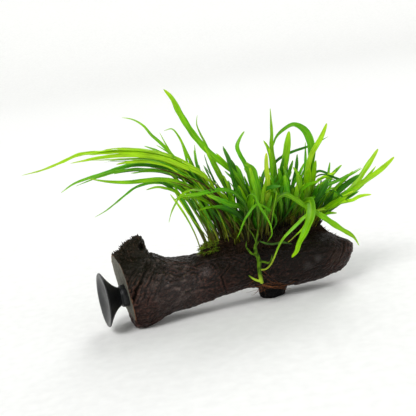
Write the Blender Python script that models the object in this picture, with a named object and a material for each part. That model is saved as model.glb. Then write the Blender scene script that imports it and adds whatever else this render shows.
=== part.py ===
"""A java fern growing on a piece of driftwood that has a rubber suction cup on its cut end."""

import math

import bmesh
import bpy
from mathutils import Matrix, Quaternion, Vector
from mathutils.bvhtree import BVHTree

# Sizes are in millimetres until a mesh is made
MM = 0.001
GAP = 0.3

# The front view that the outlines are measured in
VIEW_DISTANCE = 700.0
VIEW_RISE = math.radians(12)
VIEW_TURN = math.radians(8)
VIEW_CENTRE_Z = 88.0

# Driftwood: top and bottom of each section in the front view, and half its depth
WOOD_YAW = math.radians(14)
WOOD_MIDDLE_X = 10.0
WOOD_SECTIONS = [
    ((-68.5, 53.5), (-54.5, 2.0), 24.5),
    ((-60.0, 56.0), (-46.0, 3.0), 26.0),
    ((-50.5, 55.5), (-35.5, 9.0), 25.5),
    ((-40.5, 54.0), (-26.5, 12.5), 23.5),
    ((-29.5, 51.0), (-17.0, 15.5), 21.5),
    ((-15.5, 52.0), (-7.5, 18.0), 20.0),
    ((-2.0, 55.5), (3.0, 22.0), 19.5),
    ((9.5, 60.0), (15.0, 26.0), 20.0),
    ((22.0, 64.0), (26.0, 29.0), 20.5),
    ((35.5, 66.0), (37.0, 30.5), 21.0),
    ((49.0, 67.5), (48.0, 31.5), 22.0),
    ((62.0, 69.5), (59.0, 31.5), 22.0),
    ((74.0, 71.0), (69.5, 33.5), 21.0),
    ((84.5, 71.0), (79.0, 36.0), 19.5),
    ((93.0, 68.5), (89.0, 39.5), 17.0),
    ((100.5, 66.0), (97.5, 45.0), 13.0),
    ((105.0, 63.0), (103.5, 51.5), 7.5),
]
WOOD_RINGS = 35
WOOD_SIDES = 28
WOOD_SQUARENESS = 2.35
HEEL_LENGTH = 0.16
HEEL_LOBE = 1.8
FOOT_TRIM = 0.6

# Broken branch on top of the wide end: left, right, height, half depth
KNOB_LEVELS = [
    (-64.0, -41.0, 44.0, 11.5),
    (-67.0, -40.5, 52.0, 12.0),
    (-66.0, -44.5, 55.8, 11.5),
    (-63.2, -46.5, 59.0, 10.5),
    (-61.5, -47.6, 62.0, 9.0),
    (-57.5, -48.4, 64.6, 7.0),
    (-54.0, -49.5, 66.6, 3.5),
]
KNOB_DEPTH = -15.0
KNOB_SIDES = 16
KNOT_HOLE = (-49.8, 59.6)
KNOT_HOLE_RADIUS = 1.9
KNOT_HOLE_DEPTH = 6.0

# Broken branch under the middle, which reaches down to the surface
STUB_LEVELS = [
    (33.0, 60.0, 38.0, 12.5),
    (34.4, 60.6, 31.0, 12.0),
    (35.6, 59.0, 27.5, 11.2),
    (35.8, 57.4, 24.5, 10.4),
    (36.6, 56.0, 19.0, 9.8),
]
STUB_DEPTH = 9.0
STUB_SIDES = 18

# Suction cup, turned round its own axis: distance behind the lip, then radius
CUP_CENTRE = (-77.4, 19.7)
CUP_DEPTH = -29.0
CUP_YAW = math.radians(17.5)
CUP_RADIUS = 20.0
CUP_LIP_INNER = 16.4
CUP_HOLLOW = [(3.6, 0.0), (3.3, 6.0), (2.2, 11.5), (0.6, 15.4), (0.0, CUP_LIP_INNER)]
CUP_OUTSIDE = [
    (0.0, CUP_RADIUS),
    (0.9, CUP_RADIUS),
    (2.2, 17.9),
    (4.2, 14.6),
    (7.0, 10.8),
    (9.6, 8.2),
    (11.2, 7.2),
    (11.8, 6.2),
    (12.8, 6.2),
    (13.4, 8.0),
    (20.0, 8.2),
    (30.0, 8.2),
    (30.0, 0.0),
]
CUP_SEGMENTS = 32

# Creeping rhizomes: front-view x along the wood, sideways place on it, radius
RHIZOMES = {
    "rhizome_left": ([-6.0, 2.0, 11.0, 20.0, 29.0, 36.0], -4.0, 3.2),
    "rhizome_middle": ([20.0, 28.0, 37.0, 46.0, 55.0, 62.0], -12.5, 3.1),
    "rhizome_right": ([43.0, 52.0, 61.0, 70.0, 79.0, 88.0, 95.0], 0.5, 3.3),
}
RHIZOME_RINGS = 15
RHIZOME_SIDES = 8

# Fronds: rhizome, lean away from the viewer at the tip, blade width, twist, shade,
# and the points that the midrib passes in the front view, base first
FROND_RINGS = 12
PETIOLE_WIDTH = 1.5
MIDRIB_THICKNESS = 0.95
LEAST_CLEARANCE = 0.32
FRONDS = {
    "frond_tall": ("rhizome_middle", 8, 5.2, 10, "bright", [
        (40, 67), (33, 90), (21, 112), (4, 126), (-10, 141), (-21, 158), (-30, 175), (-33, 176)]),
    "frond_left_longest": ("rhizome_left", -14, 4.4, 12, "bright", [
        (13, 64), (1, 109), (-14, 118), (-33, 126), (-51, 130), (-74, 129), (-97, 127), (-116, 118), (-138, 112)]),
    "frond_right_arch": ("rhizome_right", 16, 4.8, -20, "bright", [
        (68, 70), (72, 84), (75, 113), (77, 129), (73, 144), (63, 150), (57, 147), (50, 140), (48, 133)]),
    "frond_plantlet": ("plantlet_stem", -6, 2.6, 15, "bright", [
        (40, 42), (44, 44), (47, 47), (50, 54), (53, 61), (57, 67), (65, 75), (73, 83), (78, 87)]),
    "frond_runner": ("runner", -3, 1.8, 10, "yellow", [
        (59, 62.5), (64, 67), (70, 73), (73, 80)]),
    "frond_front_broad": ("rhizome_right", -40, 5.2, 20, "bright", [
        (59, 69), (68, 86), (74, 88), (74, 78), (70, 67), (66, 59), (64, 53), (61, 52)]),
    "frond_front_long": ("rhizome_middle", -24, 4.6, -10, "bright", [
        (44, 67), (48, 88), (56, 98), (74, 88), (84, 81), (93, 73), (107, 67), (112, 60)]),
    "frond_right_low": ("rhizome_right", -14, 4.2, 15, "bright", [
        (72, 70), (89, 90), (101, 97), (116, 108), (126, 115), (134, 122), (138, 126)]),
    "frond_right_high": ("rhizome_right", 8, 4.6, -12, "bright", [
        (74, 70), (87, 85), (102, 98), (110, 107), (120, 122), (126, 132)]),
    "frond_left_low": ("rhizome_left", 20, 4.2, -10, "dark", [
        (20, 66), (1, 103), (-14, 110), (-28, 116), (-41, 120), (-56, 120), (-75, 114), (-97, 107), (-109, 99)]),
    "frond_left_upper": ("rhizome_left", 14, 3.6, 20, "bright", [
        (13, 64), (-1, 108), (-16, 118), (-36, 126), (-51, 131), (-69, 130), (-86, 127)]),
    "frond_left_second": ("rhizome_left", -30, 3.6, -15, "middle", [
        (17, 65), (2, 107), (-13, 116), (-32, 124), (-51, 127), (-74, 126), (-102, 121)]),
    "frond_left_third": ("rhizome_left", -4, 3.2, 15, "middle", [
        (18, 65), (-1, 101), (-16, 109), (-30, 114), (-41, 116), (-60, 116), (-80, 111), (-98, 104)]),
    "frond_left_fourth": ("rhizome_left", -24, 3.8, -20, "middle", [
        (24, 66), (1, 94), (-14, 104), (-33, 109), (-60, 107), (-78, 108), (-89, 110)]),
    "frond_left_thin": ("rhizome_left", 32, 2.6, 10, "middle", [
        (21, 65), (0, 97), (-16, 103), (-36, 107), (-51, 104), (-58, 100), (-74, 87), (-84, 81)]),
    "frond_left_drooping": ("rhizome_middle", -30, 3.0, 25, "bright", [
        (26, 66), (5, 96), (-10, 101), (-19, 98), (-26, 87), (-29, 77)]),
    "frond_upper_pale": ("rhizome_left", 24, 2.6, 5, "yellow", [
        (27, 67), (18, 94), (10, 112), (2, 127), (-3, 138), (-8, 148), (-8, 157)]),
    "frond_upper_far_arch": ("rhizome_left", 38, 2.6, -15, "bright", [
        (10, 62), (-6, 94), (-22, 121), (-34, 135), (-44, 144), (-48, 149), (-57, 154), (-64, 155)]),
    "frond_upper_left": ("rhizome_left", 4, 2.6, 20, "bright", [
        (5, 64), (-4, 94), (-13, 110), (-27, 128), (-36, 144)]),
    "frond_upper_small_arch": ("rhizome_left", 28, 2.4, -25, "bright", [
        (10, 64), (-1, 98), (-14, 125), (-20, 138), (-24, 144), (-28, 147), (-33, 145)]),
    "frond_upper_short": ("rhizome_left", 44, 2.4, 15, "middle", [
        (12, 64), (2, 90), (-6, 112), (-9, 125), (-10, 135)]),
    "frond_middle_bent": ("rhizome_middle", 18, 3.6, -10, "bright", [
        (37, 67), (34, 94), (29, 117), (22, 131), (23, 138), (27, 145)]),
    "frond_middle_dark": ("rhizome_middle", 4, 3.4, 30, "dark", [
        (28, 67), (22, 94), (16, 119), (13, 127), (11, 134)]),
    "frond_middle_left": ("rhizome_middle", -12, 3.2, -20, "middle", [
        (40, 67), (40, 90), (36, 110), (33, 118), (27, 120)]),
    "frond_middle_front": ("rhizome_middle", -24, 3.2, 10, "bright", [
        (38, 67), (37, 85), (35, 101), (33, 109), (31, 118)]),
    "frond_middle_upright": ("rhizome_right", 24, 3.4, 20, "bright", [
        (50, 68), (50, 90), (50, 112), (47, 132), (47, 143), (46, 162)]),
    "frond_middle_short": ("rhizome_right", 8, 3.0, -15, "bright", [
        (47, 68), (48, 94), (47, 120), (45, 131), (41, 138)]),
    "frond_middle_pale": ("rhizome_middle", -12, 3.4, 25, "yellow", [
        (44, 68), (44, 90), (44, 109), (43, 118), (43, 129)]),
    "frond_middle_broad": ("rhizome_right", 0, 4.2, 0, "bright", [
        (53, 68), (53, 90), (54, 112), (57, 122), (60, 145)]),
    "frond_right_upright": ("rhizome_right", 30, 2.8, 20, "middle", [
        (70, 70), (71, 94), (72, 123), (72, 137)]),
    "frond_middle_stem": ("rhizome_right", 36, 2.2, 15, "dark", [
        (46, 67), (43, 94), (44, 112), (51, 123), (61, 129), (78, 135), (89, 141)]),
    "frond_right_top": ("rhizome_right", 12, 4.0, 15, "bright", [
        (62, 69), (70, 98), (75, 123), (79, 132), (84, 141), (88, 151)]),
    "frond_right_flat": ("rhizome_right", -30, 3.0, 20, "bright", [
        (68, 70), (80, 86), (90, 88), (98, 92), (107, 94), (113, 97), (121, 98)]),
    "frond_right_thin": ("rhizome_right", 24, 2.4, -20, "middle", [
        (65, 70), (68, 90), (73, 102), (84, 104), (101, 111), (113, 118)]),
    "frond_right_far": ("rhizome_right", 40, 2.8, 15, "middle", [
        (70, 70), (77, 94), (87, 107), (92, 113), (99, 120)]),
    "frond_right_dark": ("rhizome_right", -8, 5.0, 10, "dark", [
        (65, 70), (71, 84), (77, 93), (80, 96), (85, 101), (87, 109)]),
    "frond_right_small": ("rhizome_right", -22, 2.8, -15, "bright", [
        (75, 70), (81, 83), (89, 90), (100, 96)]),
    "frond_right_stem": ("rhizome_right", 16, 2.0, 10, "dark", [
        (61, 69), (68, 98), (81, 115), (94, 110), (107, 106)]),
    "frond_front_curl": ("rhizome_middle", -18, 3.4, 25, "middle", [
        (30, 66), (27, 84), (29, 96), (33, 99), (39, 88), (44, 80), (47, 73), (47, 67), (44, 63)]),
    "frond_front_thin": ("rhizome_middle", -20, 2.4, -20, "middle", [
        (40, 67), (41, 84), (38, 90), (34, 89), (27, 79), (24, 71), (21, 65)]),
    "frond_front_left": ("rhizome_middle", -16, 3.0, 20, "middle", [
        (36, 66), (26, 77), (17, 86), (4, 89), (-7, 86)]),
    "frond_front_level": ("rhizome_middle", -22, 4.0, -20, "bright", [
        (35, 67), (29, 87), (18, 100), (5, 101), (-8, 98), (-21, 97)]),
    "frond_front_yellow": ("rhizome_middle", -16, 2.6, 10, "yellow", [
        (46, 68), (48, 83), (50, 95), (51, 101)]),
    "frond_inner_left": ("rhizome_left", 10, 2.8, 30, "dark", [
        (30, 67), (22, 86), (8, 103), (-6, 112), (-24, 118)]),
    "frond_inner_middle": ("rhizome_middle", 26, 3.0, -25, "dark", [
        (33, 67), (29, 86), (26, 102), (21, 116), (17, 124)]),
    "frond_inner_right": ("rhizome_right", 22, 3.2, 25, "dark", [
        (56, 69), (58, 86), (62, 102), (65, 116), (66, 128)]),
    "frond_inner_far": ("rhizome_right", 34, 3.0, -15, "dark", [
        (52, 68), (53, 86), (56, 104), (58, 118), (55, 128)]),
}
HANGING = ("frond_front_broad", "frond_front_long", "frond_front_curl", "frond_front_thin")
SIDEWAYS = [Vector((0.8, -0.2, 0.56)), Vector((0.9, -0.4, 0.1)), Vector((0.7, -0.7, 0.1))]
SHADES = {
    "bright": (0.130, 0.420, 0.012),
    "middle": (0.070, 0.270, 0.012),
    "dark": (0.028, 0.110, 0.010),
    "yellow": (0.360, 0.480, 0.030),
}

# Plantlet that hangs in front of the wood on its own stem
PLANTLET_DEPTH = -19.0
PLANTLET_STEM = [(37.0, 63.0), (35.0, 60.0), (35.4, 55.0), (37.6, 50.0), (38.0, 43.0), (39.0, 36.0), (40.0, 32.5)]
PLANTLET_RADIUS = 1.55
PLANTLET_SHOOTS = [
    ([(36.4, 53.0), (32.6, 54.0), (30.3, 56.5), (28.2, 59.5), (28.6, 63.5)], 0.8),
    ([(38.2, 48.5), (42.0, 48.0), (45.0, 47.2), (46.8, 49.0), (47.4, 53.5)], 0.85),
    ([(40.0, 33.5), (36.0, 34.5), (33.0, 36.0), (30.3, 38.0)], 0.95),
]
RUNNER = [(38.4, 63.4), (43.7, 61.6), (49.5, 61.4), (55.0, 62.6), (62.0, 61.4)]
RUNNER_RADIUS = 0.85
ROOT_TIPS = [(58.5, 28.0), (53.0, 30.5), (46.5, 29.0), (39.5, 26.5), (34.8, 25.2)]
ROOT_CROWN = (40.3, 31.0)
ROOT_RADIUS = 1.1


def front_point(x, z, depth):
    """The place at this depth that shows at x, z in the front view."""
    down = z - VIEW_CENTRE_Z
    across = x * math.cos(VIEW_TURN) + down * math.sin(VIEW_TURN)
    up = down * math.cos(VIEW_TURN) - x * math.sin(VIEW_TURN)
    level, drop = VIEW_DISTANCE * math.cos(VIEW_RISE), VIEW_DISTANCE * math.sin(VIEW_RISE)
    reach = (depth + level) / (level + up * math.sin(VIEW_RISE))
    return Vector((reach * across, depth, drop + reach * (up * math.cos(VIEW_RISE) - drop)))


def wood_depth(x):
    """Depth of the driftwood's middle where it shows at x."""
    return (x - WOOD_MIDDLE_X) * math.tan(WOOD_YAW)


def smooth_step(low, high, value):
    share = min(1.0, max(0.0, (value - low) / (high - low)))
    return share * share * (3 - 2 * share)


def spline_point(points, place):
    """A point of the smooth curve through these points, where place runs from 0 to 1."""
    spans = len(points) - 1
    span = min(int(place * spans), spans - 1)
    t = place * spans - span
    before = points[span - 1] if span else 2 * points[0] - points[1]
    after = points[span + 2] if span + 2 <= spans else 2 * points[-1] - points[-2]
    start, end = points[span], points[span + 1]
    leave, arrive = (end - before) / 2, (after - start) / 2
    return (
        start * (2 * t**3 - 3 * t**2 + 1)
        + leave * (t**3 - 2 * t**2 + t)
        + end * (3 * t**2 - 2 * t**3)
        + arrive * (t**3 - t**2)
    )


def even_curve(points, count):
    """This many points at even distances along the smooth curve through the given ones."""
    fine = [spline_point(points, i / 200) for i in range(201)]
    along = [0.0]
    for a, b in zip(fine, fine[1:]):
        along.append(along[-1] + (b - a).length)
    result = []
    index = 0
    for i in range(count):
        target = along[-1] * i / (count - 1)
        while index < 199 and along[index + 1] < target:
            index += 1
        step = along[index + 1] - along[index]
        result.append(fine[index].lerp(fine[index + 1], (target - along[index]) / step))
    return result


def tangents_of(points):
    ends = [points[1] - points[0]] + [b - a for a, b in zip(points, points[2:])] + [points[-1] - points[-2]]
    return [end.normalized() for end in ends]


def join_rings(rings, start, end):
    """Vertices and faces of a closed skin over rings, each end drawn to one point."""
    sides = len(rings[0])
    points = [start] + [point for ring in rings for point in ring] + [end]
    faces = []
    for side in range(sides):
        following = (side + 1) % sides
        faces.append((0, 1 + following, 1 + side))
        for row in range(len(rings) - 1):
            low, high = 1 + row * sides, 1 + (row + 1) * sides
            faces.append((low + side, low + following, high + following, high + side))
        top = 1 + (len(rings) - 1) * sides
        faces.append((top + side, top + following, len(points) - 1))
    return points, faces


def material(name, colour, roughness):
    found = bpy.data.materials.get(name)
    if found:
        return found
    made = bpy.data.materials.new(name)
    made.use_nodes = True
    shader = made.node_tree.nodes["Principled BSDF"]
    shader.inputs["Base Color"].default_value = (*colour, 1)
    shader.inputs["Roughness"].default_value = roughness
    shader.inputs["Metallic"].default_value = 0
    made.diffuse_color = (*colour, 1)
    return made


def add_object(name, points, faces, look, smooth=True):
    mesh = bpy.data.meshes.new(name)
    mesh.from_pydata([point * MM for point in points], [], faces)
    work = bmesh.new()
    work.from_mesh(mesh)
    bmesh.ops.recalc_face_normals(work, faces=work.faces)
    work.to_mesh(mesh)
    work.free()
    mesh.polygons.foreach_set("use_smooth", [smooth] * len(mesh.polygons))
    mesh.materials.append(look)
    made = bpy.data.objects.new(name, mesh)
    bpy.context.scene.collection.objects.link(made)
    return made


def cut_or_join(target, tool, operation):
    """Applies a Boolean, then removes the tool."""
    modifier = target.modifiers.new(operation.lower(), "BOOLEAN")
    modifier.operation = operation
    modifier.solver = "EXACT"
    modifier.object = tool
    bpy.context.view_layer.update()
    evaluated = target.evaluated_get(bpy.context.evaluated_depsgraph_get())
    mesh = bpy.data.meshes.new_from_object(evaluated)
    target.modifiers.clear()
    target.data = mesh
    bpy.data.objects.remove(tool)


def tree_of(made):
    corners = [vertex.co / MM for vertex in made.data.vertices]
    return BVHTree.FromPolygons(corners, [tuple(polygon.vertices) for polygon in made.data.polygons])


def tube(name, points, radii, sides, look, rings=None):
    """A closed tube along a curve, with rounded ends."""
    rings = rings or 2 * len(points)
    centres = even_curve(points, rings)
    tangents = tangents_of(centres)
    across = tangents[0].orthogonal().normalized()
    made = []
    for index, (centre, tangent) in enumerate(zip(centres, tangents)):
        across = (across - tangent * across.dot(tangent)).normalized()
        place = index / (rings - 1) * (len(radii) - 1)
        low = min(int(place), len(radii) - 2)
        radius = radii[low] + (radii[low + 1] - radii[low]) * (place - low)
        turns = [Quaternion(tangent, math.tau * side / sides) for side in range(sides)]
        made.append([centre + turn @ across * radius for turn in turns])
    start = centres[0] - tangents[0] * radii[0] * 0.6
    end = centres[-1] + tangents[-1] * radii[-1] * 0.6
    return add_object(name, *join_rings(made, start, end), look)


def wood_rings(swell):
    """Sections of the driftwood, each pushed outwards by swell."""
    upper = [front_point(*top, wood_depth((top[0] + low[0]) / 2)) for top, low, _ in WOOD_SECTIONS]
    lower = [front_point(*low, wood_depth((top[0] + low[0]) / 2)) for top, low, _ in WOOD_SECTIONS]
    depths = [Vector((half, 0, 0)) for _, _, half in WOOD_SECTIONS]
    rings = []
    for row in range(WOOD_RINGS):
        place = row / (WOOD_RINGS - 1)
        top, low = spline_point(upper, place), spline_point(lower, place)
        half_depth = spline_point(depths, place).x + swell
        middle = (top + low) / 2
        rise = (top - low) / 2
        rise *= 1 + swell / rise.length
        back = Vector((-math.sin(WOOD_YAW), math.cos(WOOD_YAW), 0)) * half_depth
        heel = 1 - smooth_step(HEEL_LENGTH * 0.5, HEEL_LENGTH, place)
        ring = []
        for side in range(WOOD_SIDES):
            angle = math.tau * side / WOOD_SIDES
            c, s = math.cos(angle), math.sin(angle)
            wide = math.copysign(abs(c) ** (2 / WOOD_SQUARENESS), c)
            high = math.copysign(abs(s) ** (2 / WOOD_SQUARENESS), s)
            ridges = 0.7 * math.sin(3 * angle + 7 * place) + 0.5 * math.sin(5 * angle - 9 * place + 1)
            ridges *= 1 - abs(s) * 0.6
            lobes = HEEL_LOBE * heel * math.exp(-(((abs(wide) - 0.42) / 0.2) ** 2)) if s < 0 else 0
            outward = (back * wide + rise * high).normalized()
            ring.append(middle + back * wide + rise * high + outward * ridges + Vector((0, 0, -lobes)))
        rings.append(ring)
    return rings


def lump_rings(levels, depth, sides, raggedness):
    """Rings of a broken branch that stands up or hangs down from the driftwood."""
    rings = []
    for row, (left, right, height, half) in enumerate(levels):
        a, b = front_point(left, height, depth), front_point(right, height, depth)
        middle, across = (a + b) / 2, (b - a) / 2
        back = Vector((0, half, 0))
        ring = []
        for side in range(sides):
            angle = math.tau * side / sides
            uneven = 1 + raggedness * math.sin(3 * angle + 1.3 * row) + raggedness * math.sin(5 * angle - row)
            rough = Vector((0, 0, raggedness * 14 * math.sin(4 * angle + 2.1 * row)))
            ring.append(middle + (across * math.cos(angle) + back * math.sin(angle)) * uneven + rough)
        rings.append(ring)
    return rings


def middle_of(points):
    return sum(points, Vector()) / len(points)


def trim_below(made, floor):
    """Cuts a flat foot at this height."""
    work = bmesh.new()
    work.from_mesh(made.data)
    bmesh.ops.bisect_plane(
        work,
        geom=work.verts[:] + work.edges[:] + work.faces[:],
        plane_co=(0, 0, floor * MM),
        plane_no=(0, 0, -1),
        clear_outer=True,
    )
    edges = [edge for edge in work.edges if edge.is_boundary]
    bmesh.ops.holes_fill(work, edges=edges)
    bmesh.ops.recalc_face_normals(work, faces=work.faces)
    work.to_mesh(made.data)
    work.free()


def build_driftwood():
    """The main piece, the branch stub on top of its wide end and the stub underneath."""
    bark = material("wet_driftwood", (0.026, 0.016, 0.012), 0.5)
    rings = wood_rings(0)
    wood = add_object("driftwood_trunk", *join_rings(rings, middle_of(rings[0]), middle_of(rings[-1])), bark)
    floor = min(vertex.co.z for vertex in wood.data.vertices) / MM + FOOT_TRIM
    stubs = []
    for name, levels, depth, sides in (
        ("driftwood_top_stub", KNOB_LEVELS, KNOB_DEPTH, KNOB_SIDES),
        ("driftwood_under_stub", STUB_LEVELS, STUB_DEPTH, STUB_SIDES),
    ):
        lump = lump_rings(levels, depth, sides, 0.045)
        stub = add_object(name, *join_rings(lump, middle_of(lump[0]), middle_of(lump[-1])), bark)
        wide = wood_rings(GAP)
        cutter = add_object("cutter", *join_rings(wide, middle_of(wide[0]), middle_of(wide[-1])), bark)
        cut_or_join(stub, cutter, "DIFFERENCE")
        stubs.append(stub)
    hole_start = front_point(*KNOT_HOLE, KNOB_DEPTH - KNOB_LEVELS[3][3] - 2)
    inward = Vector((0, 1, 0.1)).normalized()
    hole = tube(
        "cutter",
        [hole_start, hole_start + inward * 4, hole_start + inward * (2 + KNOT_HOLE_DEPTH)],
        [KNOT_HOLE_RADIUS * 1.2, KNOT_HOLE_RADIUS, KNOT_HOLE_RADIUS * 0.5],
        10,
        bark,
    )
    cut_or_join(stubs[0], hole, "DIFFERENCE")
    trim_below(wood, floor)
    trim_below(stubs[1], floor)
    return wood, stubs, rings[0], floor


def build_cup(cut_ring):
    """One rubber moulding, turned from a profile and trimmed square to the cut end of the wood."""
    rubber = material("black_rubber", (0.006, 0.006, 0.007), 0.38)
    axis = Vector((math.cos(CUP_YAW), math.sin(CUP_YAW), 0))
    lip = front_point(*CUP_CENTRE, CUP_DEPTH)
    profile = CUP_HOLLOW + CUP_OUTSIDE
    upright = Vector((0, 0, 1))
    rings = []
    for behind, radius in profile[1:-1]:
        turns = [Quaternion(axis, math.tau * side / CUP_SEGMENTS) for side in range(CUP_SEGMENTS)]
        rings.append([lip + axis * behind + turn @ upright * radius for turn in turns])
    start = lip + axis * profile[0][0]
    end = lip + axis * profile[-1][0]
    cup = add_object("suction_cup", *join_rings(rings, start, end), rubber)
    centre = middle_of(cut_ring)
    quarter = WOOD_SIDES // 4
    face = (cut_ring[0] - centre).cross(cut_ring[quarter] - centre).normalized()
    if face.x > 0:
        face = -face
    work = bmesh.new()
    work.from_mesh(cup.data)
    bmesh.ops.bisect_plane(
        work,
        geom=work.verts[:] + work.edges[:] + work.faces[:],
        plane_co=(centre + face * GAP) * MM,
        plane_no=-face,
        clear_outer=True,
    )
    bmesh.ops.holes_fill(work, edges=[edge for edge in work.edges if edge.is_boundary])
    bmesh.ops.recalc_face_normals(work, faces=work.faces)
    work.to_mesh(cup.data)
    work.free()
    return cup


def build_rhizomes(wood_tree):
    """Creeping stems that lie on the driftwood. Returns each one's centre line by name."""
    brown = material("rhizome_skin", (0.060, 0.048, 0.016), 0.7)
    lines = {}
    for name, (places, sideways, radius) in RHIZOMES.items():
        points = []
        for x in places:
            guide = front_point(x, 68, wood_depth(x))
            over = guide + Vector((0, sideways, 80))
            hit, normal, _, _ = wood_tree.ray_cast(over, Vector((0, 0, -1)))
            points.append(hit + normal * (radius * 1.12 + GAP))
        radii = [radius * (0.86 + 0.22 * math.sin(2.3 * i + radius)) for i in range(RHIZOME_RINGS)]
        radii[0] = radius * 0.55
        radii[-1] = radius * 0.5
        tube(name, points, radii, RHIZOME_SIDES, brown, RHIZOME_RINGS)
        lines[name] = even_curve(points, 80)
    return lines


def frond_skin(points, width, twist, margin=0.0, petiole_end=0.18):
    """Rings of one frond: a round petiole that widens into a thin blade with a raised midrib."""
    centres = even_curve(points, FROND_RINGS + 2)
    tangents = tangents_of(centres)
    rings = []
    for index in range(1, FROND_RINGS + 1):
        place = index / (FROND_RINGS + 1)
        spread = smooth_step(petiole_end, 0.55, place)
        narrowing = 1 - smooth_step(0.62, 1.08, place)
        blade = PETIOLE_WIDTH * 0.8 + (width - PETIOLE_WIDTH * 0.8) * spread
        half_width = blade * narrowing / 2 + margin
        half_thick = (PETIOLE_WIDTH * (1 - spread) + MIDRIB_THICKNESS * spread) * (1 - 0.55 * place) / 2 + margin
        tangent = tangents[index]
        facing = Vector((0, -0.75, 0.66))
        if abs(facing.dot(tangent)) > 0.92:
            facing = Vector((0, -0.95, -0.3))
        facing = (facing - tangent * facing.dot(tangent)).normalized()
        facing = Quaternion(tangent, math.radians(twist) * (0.3 + 1.4 * place)) @ facing
        sideways = tangent.cross(facing)
        centre = centres[index]
        rings.append([
            centre + sideways * half_width,
            centre + facing * half_thick,
            centre - sideways * half_width,
            centre - facing * half_thick,
        ])
    return join_rings(rings, centres[0], centres[-1])


def frond_path(start, outward, lean, points, hanging):
    """World points of a midrib that leaves its stem outwards and then follows the front view."""
    along = [0.0]
    for (x0, z0), (x1, z1) in zip(points, points[1:]):
        along.append(along[-1] + math.hypot(x1 - x0, z1 - z0))
    path = [start, start + outward * 3.5]
    for (x, z), distance in zip(points[1:], along[1:]):
        share = distance / along[-1]
        bend = 1 - (1 - share) ** 2 if hanging else share**1.25
        path.append(front_point(x, z, start.y + lean * bend))
    return path


def clear_of(skin, trees):
    candidate = BVHTree.FromPolygons(*skin)
    return not any(candidate.overlap(tree) for tree in trees)


def search_steps(reach, step):
    """0, then one step either way, then two, up to this reach."""
    steps = [0.0]
    while abs(steps[-1]) < reach:
        size = abs(steps[-1]) + step
        steps += [size, -size]
    return steps


def upward_ways(lean):
    """Directions in which a frond may leave a rhizome, on the side that it leans to."""
    side = -1 if lean < 0 else 1
    rolls = [math.radians(angle) * side for angle in (18, 40, 0, 58)]
    return [Vector((0, math.sin(roll), math.cos(roll))) for roll in rolls]


def settle_frond(name, row, line, stem_tree, others, ways):
    """Adds the frond at the nearest clear place to the one that is asked for."""
    _, lean, width, twist, shade, points = row
    hanging = name in HANGING
    wanted = front_point(*points[0], line[0].y)
    nearest = min(range(len(line)), key=lambda i: math.hypot(line[i].x - wanted.x, line[i].z - wanted.z))
    for nudge in search_steps(26, 2.5):
        for shift in (0, 3, -3, 6, -6, 9, -9):
            for outward in ways:
                spot = line[min(max(nearest + shift, 2), len(line) - 3)]
                hit, _, _, _ = stem_tree.ray_cast(spot + outward * 8, -outward)
                start = hit + outward * GAP
                path = frond_path(start, outward, lean + nudge, points, hanging)
                if not clear_of(frond_skin(path, width, twist, LEAST_CLEARANCE), others):
                    continue
                skin = frond_skin(path, width, twist)
                if not clear_of(skin, [stem_tree]):
                    continue
                look = material("leaf_" + shade, SHADES[shade], 0.36)
                print(f"{name}: lean {lean + nudge:.1f}, shift {shift}")
                return add_object(name, *skin, look)
    raise ValueError(f"{name} has no clear place")


def build_plantlet():
    """The hanging stem with its shoots, the thin runner beside it and the root tuft below."""
    green = material("stem_green", (0.060, 0.190, 0.015), 0.42)
    root_brown = material("root_brown", (0.120, 0.040, 0.014), 0.75)
    stem_points = [front_point(x, z, PLANTLET_DEPTH + 2 * smooth_step(56, 64, z)) for x, z in PLANTLET_STEM]
    thick = PLANTLET_RADIUS
    stem = tube("plantlet_stem", stem_points, [thick * 0.6, thick * 0.9, thick, thick * 1.05, thick, thick * 0.8], 8, green, 12)
    for points, radius in PLANTLET_SHOOTS:
        path = [front_point(x, z, PLANTLET_DEPTH - 0.4 * i) for i, (x, z) in enumerate(points)]
        shoot = tube("shoot", path, [radius, radius, radius * 0.8, radius * 0.35], 6, green, 8)
        cut_or_join(stem, shoot, "UNION")
    runner_points = [front_point(x, z, PLANTLET_DEPTH - 3 + 0.8 * i) for i, (x, z) in enumerate(RUNNER)]
    thin = RUNNER_RADIUS
    runner = tube("runner", runner_points, [thin * 0.7, thin, thin * 1.1, thin, thin * 0.5], 6, green, 12)
    crown = front_point(*ROOT_CROWN, PLANTLET_DEPTH)
    tuft = None
    for index, (x, z) in enumerate(ROOT_TIPS):
        tip = front_point(x, z, PLANTLET_DEPTH + 1.5 * math.sin(2 * index))
        bend = crown.lerp(tip, 0.5) + Vector((0, -0.8, -0.8))
        radii = [ROOT_RADIUS, ROOT_RADIUS * 0.8, ROOT_RADIUS * 0.35]
        root = tube("root_tuft" if index == 0 else "root", [crown, bend, tip], radii, 5, root_brown, 5)
        if tuft:
            cut_or_join(tuft, root, "UNION")
        else:
            tuft = root
    lines = {"plantlet_stem": even_curve(stem_points, 80), "runner": even_curve(runner_points, 80)}
    return [stem, runner, tuft], lines


def place_pieces(floor):
    """Gives each piece an origin of its own, all of them under one empty that stands on the surface."""
    pieces = list(bpy.context.scene.objects)
    corners = [vertex.co for made in pieces for vertex in made.data.vertices]
    low = [min(corner[axis] for corner in corners) for axis in range(3)]
    high = [max(corner[axis] for corner in corners) for axis in range(3)]
    shift = Vector((-(low[0] + high[0]) / 2, -(low[1] + high[1]) / 2, -floor * MM))
    whole = bpy.data.objects.new("java_fern_on_driftwood", None)
    bpy.context.scene.collection.objects.link(whole)
    for made in pieces:
        origin = made.data.vertices[0].co.copy()
        made.data.transform(Matrix.Translation(-origin))
        made.data.update()
        made.location = origin + shift
        made.parent = whole
    print("moved by", [round(value / MM, 2) for value in shift])


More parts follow.
